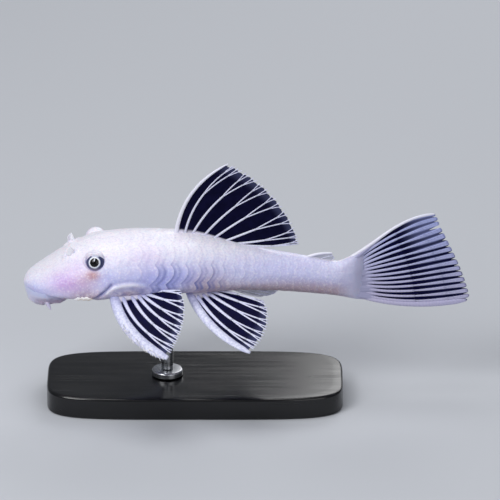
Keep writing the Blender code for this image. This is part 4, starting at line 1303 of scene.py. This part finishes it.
CAUDAL = Fan(
    root_first=(88.75, 8.7),
    root_last=(88.75, -2.6),
    roots=(0.0, 0.123, 0.22, 0.29, 0.336, 0.372, 0.41, 0.459)
    + (0.505, 0.56, 0.627, 0.693, 0.76, 0.843, 0.92, 1.0),
    tips=(0.0, 0.099, 0.192, 0.302, 0.398, 0.498, 0.568, 0.637)
    + (0.705, 0.759, 0.807, 0.852, 0.895, 0.936, 0.971, 1.0),
    angles=(27.9, 19.6, -3.4),
    lengths=(24.9, 26.9, 31.4),
    bows=(1.85, 0.2, -2.07),
    late_bow=(0.74, -0.9, -0.1),
    camber=0.9,
    forks=(1,) + (0.52,) * 15,
    second_fork=0.8,
    splay=(0.15, 0.07),
    spine_wide=(0.55, 0.46, 0.4, 0.36, 0.4),
    spine_deep=(0.6, 0.45, 0.28),
    spine_lean=0.2,
    stout_last=True,
    last_wide=(0.4, 0.62, 0.75, 0.85, 0.8),
    last_lean=0.35,
    ray_wide=(0.42, 0.34, 0.24, 0.19),
    ray_deep=(0.4, 0.2),
    flesh=1.0,
    pale_reach=((0, 0.6, 1.2, 5, 9, 13, 15), (8.0, 7.4, 3.6, 3.9, 4.8, 5.8, 6.6)),
    ends={0: 0.985, 15: 0.97},
    edge_white=0.75,
    lobed=True,
    free_tip=-0.004,
    scallop=0.05,
    notch=((2.5, 0.08),),
    film=tail_film,
)
PECTORAL = Fan(
    root_first=(0.0, -1.3),
    root_last=(7.6, -2.4),
    roots=(0.0, 0.3, 0.6, 0.8, 0.92, 1.0, 1.06),
    tips=(0.0, 0.14, 0.27, 0.4, 0.55, 0.76, 1.0),
    angles=(55.9, 38.0, 12.0),
    lengths=(26.0, 19.0, 10.6),
    bows=(3.2, 1.0, 0.0),
    camber=-0.6,
    edge_lift=3.9,
    forks=(1, 0.62, 0.58, 0.55, 0.52, 0.5, 0.5),
    edge_white=0.1,
    spine_rough=0.85,
    spine_wide=(1.35, 1.5, 1.7, 1.65, 1.3),
    spine_deep=(0.9, 0.7, 0.4),
    spine_lean=-0.12,
    ray_wide=(0.62, 0.38, 0.26, 0.17),
    ray_deep=(0.42, 0.19),
    flesh=0.7,
    pale_reach=((0, 6), (2.4, 2.0)),
)
PELVIC = Fan(
    root_first=(0.0, -1.6),
    root_last=(5.0, -3.6),
    roots=(0.0, 0.3, 0.55, 0.75, 0.9, 1.0),
    tips=(0.0, 0.12, 0.3, 0.52, 0.76, 1.0),
    angles=(51.3, 33.0, 14.6),
    lengths=(25.7, 21.7, 15.3),
    bows=(2.4, 0.8, -0.2),
    camber=-0.5,
    forks=(1, 0.6, 0.55, 0.52, 0.5, 0.5),
    edge_white=0.1,
    spine_rough=0.85,
    spine_wide=(1.1, 1.25, 1.2, 0.8),
    spine_deep=(0.75, 0.6, 0.35),
    spine_lean=-0.1,
    ray_wide=(0.6, 0.38, 0.26, 0.17),
    ray_deep=(0.4, 0.19),
    flesh=0.6,
    pale_reach=((0, 5), (2.4, 2.2)),
)

# The stand
PLINTH_EDGE = 0.8
PLINTH_FOOT_EDGE = 0.3
FOOT_ROUNDING = 0.5
FOOT_BEVEL = 0.15
ROD_SEAT_RADIUS = 1.9
ROD_BEVEL = 0.3


def node_sizes(node):
    """A node's middle x, half length, half width, bottom and top, in the fish's millimetres."""
    low, high = (np.array(corner) * 1000.0 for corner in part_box(node))
    half, middle = (high - low) / 2, (high + low) / 2
    return middle[0] + MIDDLE_X, half[0], half[1], low[2] - BELLY_HEIGHT, high[2] - BELLY_HEIGHT


def make_plinth(material):
    """Rounded outlines |x/a|^5 + |y/b|^5 = 1 at the insets and heights of one edge profile."""
    middle, half_length, half_width, bottom, top = node_sizes("stand_base")
    turn = around(240)
    across, along = (np.sign(wave) * np.abs(wave) ** 0.4 for wave in (np.sin(turn), np.cos(turn)))
    arc = np.linspace(0, math.pi / 2, 9)
    rounding = PLINTH_EDGE * (1 - np.cos(arc))
    inset = np.concatenate(([PLINTH_FOOT_EDGE, 0.0], rounding, [3.0, 8.0, 13.0]))[:, None]
    rounded = top - PLINTH_EDGE * (1 - np.sin(arc))
    height = np.concatenate(([bottom, bottom + PLINTH_FOOT_EDGE], rounded, [top] * 3))[:, None]
    slab = points_at(middle + (half_length - inset) * along, (half_width - inset) * across, height)
    slab = np.concatenate((pole(slab[:1]), slab, pole(slab[-1:])), axis=0)
    Surface().grid(slab).piece("plinth", material, "stand_base", ("stand_base",), sharp=40)


def make_turned(name, node, material, profile):
    """A profile of (radius, height) points turned about its node's axis. profile gives them from the node's
    radius, bottom and top."""
    middle, radius, _, bottom, top = node_sizes(node)
    r, z = np.array(profile(radius, bottom, top)).T[..., None]
    turn = around(64)
    shape = points_at(middle + r * np.cos(turn), r * np.sin(turn), z)
    Surface().grid(shape).piece(name, material, "stand_rod", (node,), sharp=40)


def foot_profile(radius, bottom, top):
    """A disc with a small bevel below and a rounded upper edge, a quarter circle."""
    arc = np.linspace(0, math.pi / 2, 8)
    back = FOOT_ROUNDING
    rim = [(radius - back + back * math.cos(a), top - back + back * math.sin(a)) for a in arc]
    base = [(0.0, bottom), (radius - FOOT_BEVEL, bottom), (radius, bottom + FOOT_BEVEL)]
    return [*base, *rim, (ROD_SEAT_RADIUS, top), (0.0, top)]


def rod_profile(radius, bottom, top):
    """A rod with a small bevel at its upper end."""
    return [(0.0, bottom), (radius, bottom), (radius, top - ROD_BEVEL), (radius - ROD_BEVEL, top), (0.0, top)]


# The studio

CAMERA_TILT = math.radians(22.0)
CAMERA_DISTANCE = 1.6
SENSOR = 36.0
# The photo's side in pixels, metres of the fish for each pixel, and how the fish lies in it, in pixels
PHOTO_SIZE = 500
PIXEL = 0.26846e-3
SNOUT_PIXEL_X = 23.3
BELLY_BELOW_MIDDLE = 36
FLOOR_HALF = 3.0


def make_studio():
    """A pale floor, soft lights and the photograph's view: square to the flank, from above, long lens."""
    scene = bpy.context.scene
    mesh = bpy.data.meshes.new("floor")
    corners = [(FLOOR_HALF * x, FLOOR_HALF * y, 0) for x, y in ((-1, -1), (1, -1), (1, 1), (-1, 1))]
    mesh.from_pydata(corners, [], [(0, 1, 2, 3)])
    floor = bpy.data.objects.new("floor", mesh)
    scene.collection.objects.link(floor)
    # Matt photo-studio paper
    mesh.materials.append(finished(blank("Studio paper")[0], Base_Color=linear("#bfc2c8"), Roughness=0.9))

    scene.world = bpy.data.worlds.new("studio")
    scene.world.use_nodes = True
    tree = scene.world.node_tree
    fill(tree, tree.nodes["Background"], {"Color": linear("#dfe4ee"), "Strength": 0.22})
    scene.view_settings.view_transform = "Standard"

    aim = Vector((0.0, 0.0, 0.04))
    for name, place, size, power in (
        ("key", (-0.36, -0.38, 0.50), 0.32, 2.65),
        ("fill", (0.35, -0.60, 0.34), 0.5, 0.95),
        ("top", (-0.10, 0.06, 0.72), 0.42, 1.85),
        ("back", (0.20, 0.60, 0.40), 0.4, 1.4),
    ):
        lamp = bpy.data.lights.new(name, "AREA")
        lamp.size, lamp.energy = size, power
        light = bpy.data.objects.new(name, lamp)
        light.location = place
        light.rotation_euler = (aim - Vector(place)).to_track_quat("-Z", "Y").to_euler()
        scene.collection.objects.link(light)

    camera = bpy.data.objects.new("camera", bpy.data.cameras.new("camera"))
    camera.data.sensor_width = SENSOR
    camera.data.lens = SENSOR * CAMERA_DISTANCE / (PHOTO_SIZE * PIXEL)
    camera.data.clip_start, camera.data.clip_end = 0.05, 20.0
    target_x = (PHOTO_SIZE / 2 - SNOUT_PIXEL_X) * PIXEL - MIDDLE_X / 1000
    target_z = BELLY_HEIGHT / 1000 + BELLY_BELOW_MIDDLE * PIXEL / math.cos(CAMERA_TILT)
    back = Vector((0.0, -math.cos(CAMERA_TILT), math.sin(CAMERA_TILT)))
    camera.location = Vector((target_x, 0.0, target_z)) + back * CAMERA_DISTANCE
    camera.rotation_euler = (math.pi / 2 - CAMERA_TILT, 0.0, 0.0)
    scene.collection.objects.link(camera)
    scene.camera = camera


def main():
    """Makes the materials, the fish piece by piece, its stand and the studio."""
    skin, hooks = armoured_skin(), enamel()
    make_skin(skin)
    make_eyes(wet_eye())
    make_nostril_flaps(skin)
    make_lips(lip_skin())
    make_teeth(hooks)
    make_cheek_hooks(hooks)

    white_bone = fin_bone("White fin bone", "#dedef2", "#e8e9fa", "#d4d6f0")
    # The paired fins' rays start bluer and darker at the root: painted shade under the body
    paired_bone = fin_bone("Paired fin bone", "#b6b8e4", "#dfe1fa", "#d8daf2")
    lilac_bone = fin_bone("Lilac fin bone", "#acacd0", "#b9bde4", "#a3aee6", low="#c2bad4")
    # The navy membranes, the tail's among them, are painted shade: nearly opaque, in the dark seen through
    # them
    shaded_navy_web = fin_web("Shaded navy fin membrane", "#05052a", "#0f0f44", 0.985)
    # The tail's flesh tint is painted shade, to match the end of the tail stalk
    tail_web = fin_web("Tail fin membrane", "#05052a", "#0f0f44", 0.985, flesh_tint="#abaaca")
    shaded_dark_web = fin_web("Shaded dark fin membrane", "#090926", "#15153c", 0.985)
    milky_web = fin_web("Milky fin membrane", "#b9bccb", "#d4d5e2", 0.72)
    make_fin("dorsal", "", DORSAL, upright, white_bone, shaded_dark_web)
    make_fin("adipose", "", ADIPOSE, upright, white_bone, milky_web)
    make_fin("caudal", "", CAUDAL, upright, lilac_bone, tail_web)
    make_fin("anal", "", ANAL, hanging, white_bone, milky_web)
    for name, side in SIDES:
        for kind, fan, root in (("pectoral", PECTORAL, PECTORAL_ROOT), ("pelvic", PELVIC, PELVIC_ROOT)):
            make_fin(kind, "_" + name, fan, spread(root, side), paired_bone, shaded_navy_web)
        make_spine_hooks("spine_hooks_" + name, PECTORAL, spread(PECTORAL_ROOT, side), hooks)

    steel = turned_steel()
    make_plinth(black_acrylic())
    make_turned("steel_foot", "stand_foot", steel, foot_profile)
    make_turned("steel_rod", "stand_rod", steel, rod_profile)
    make_studio()


main()
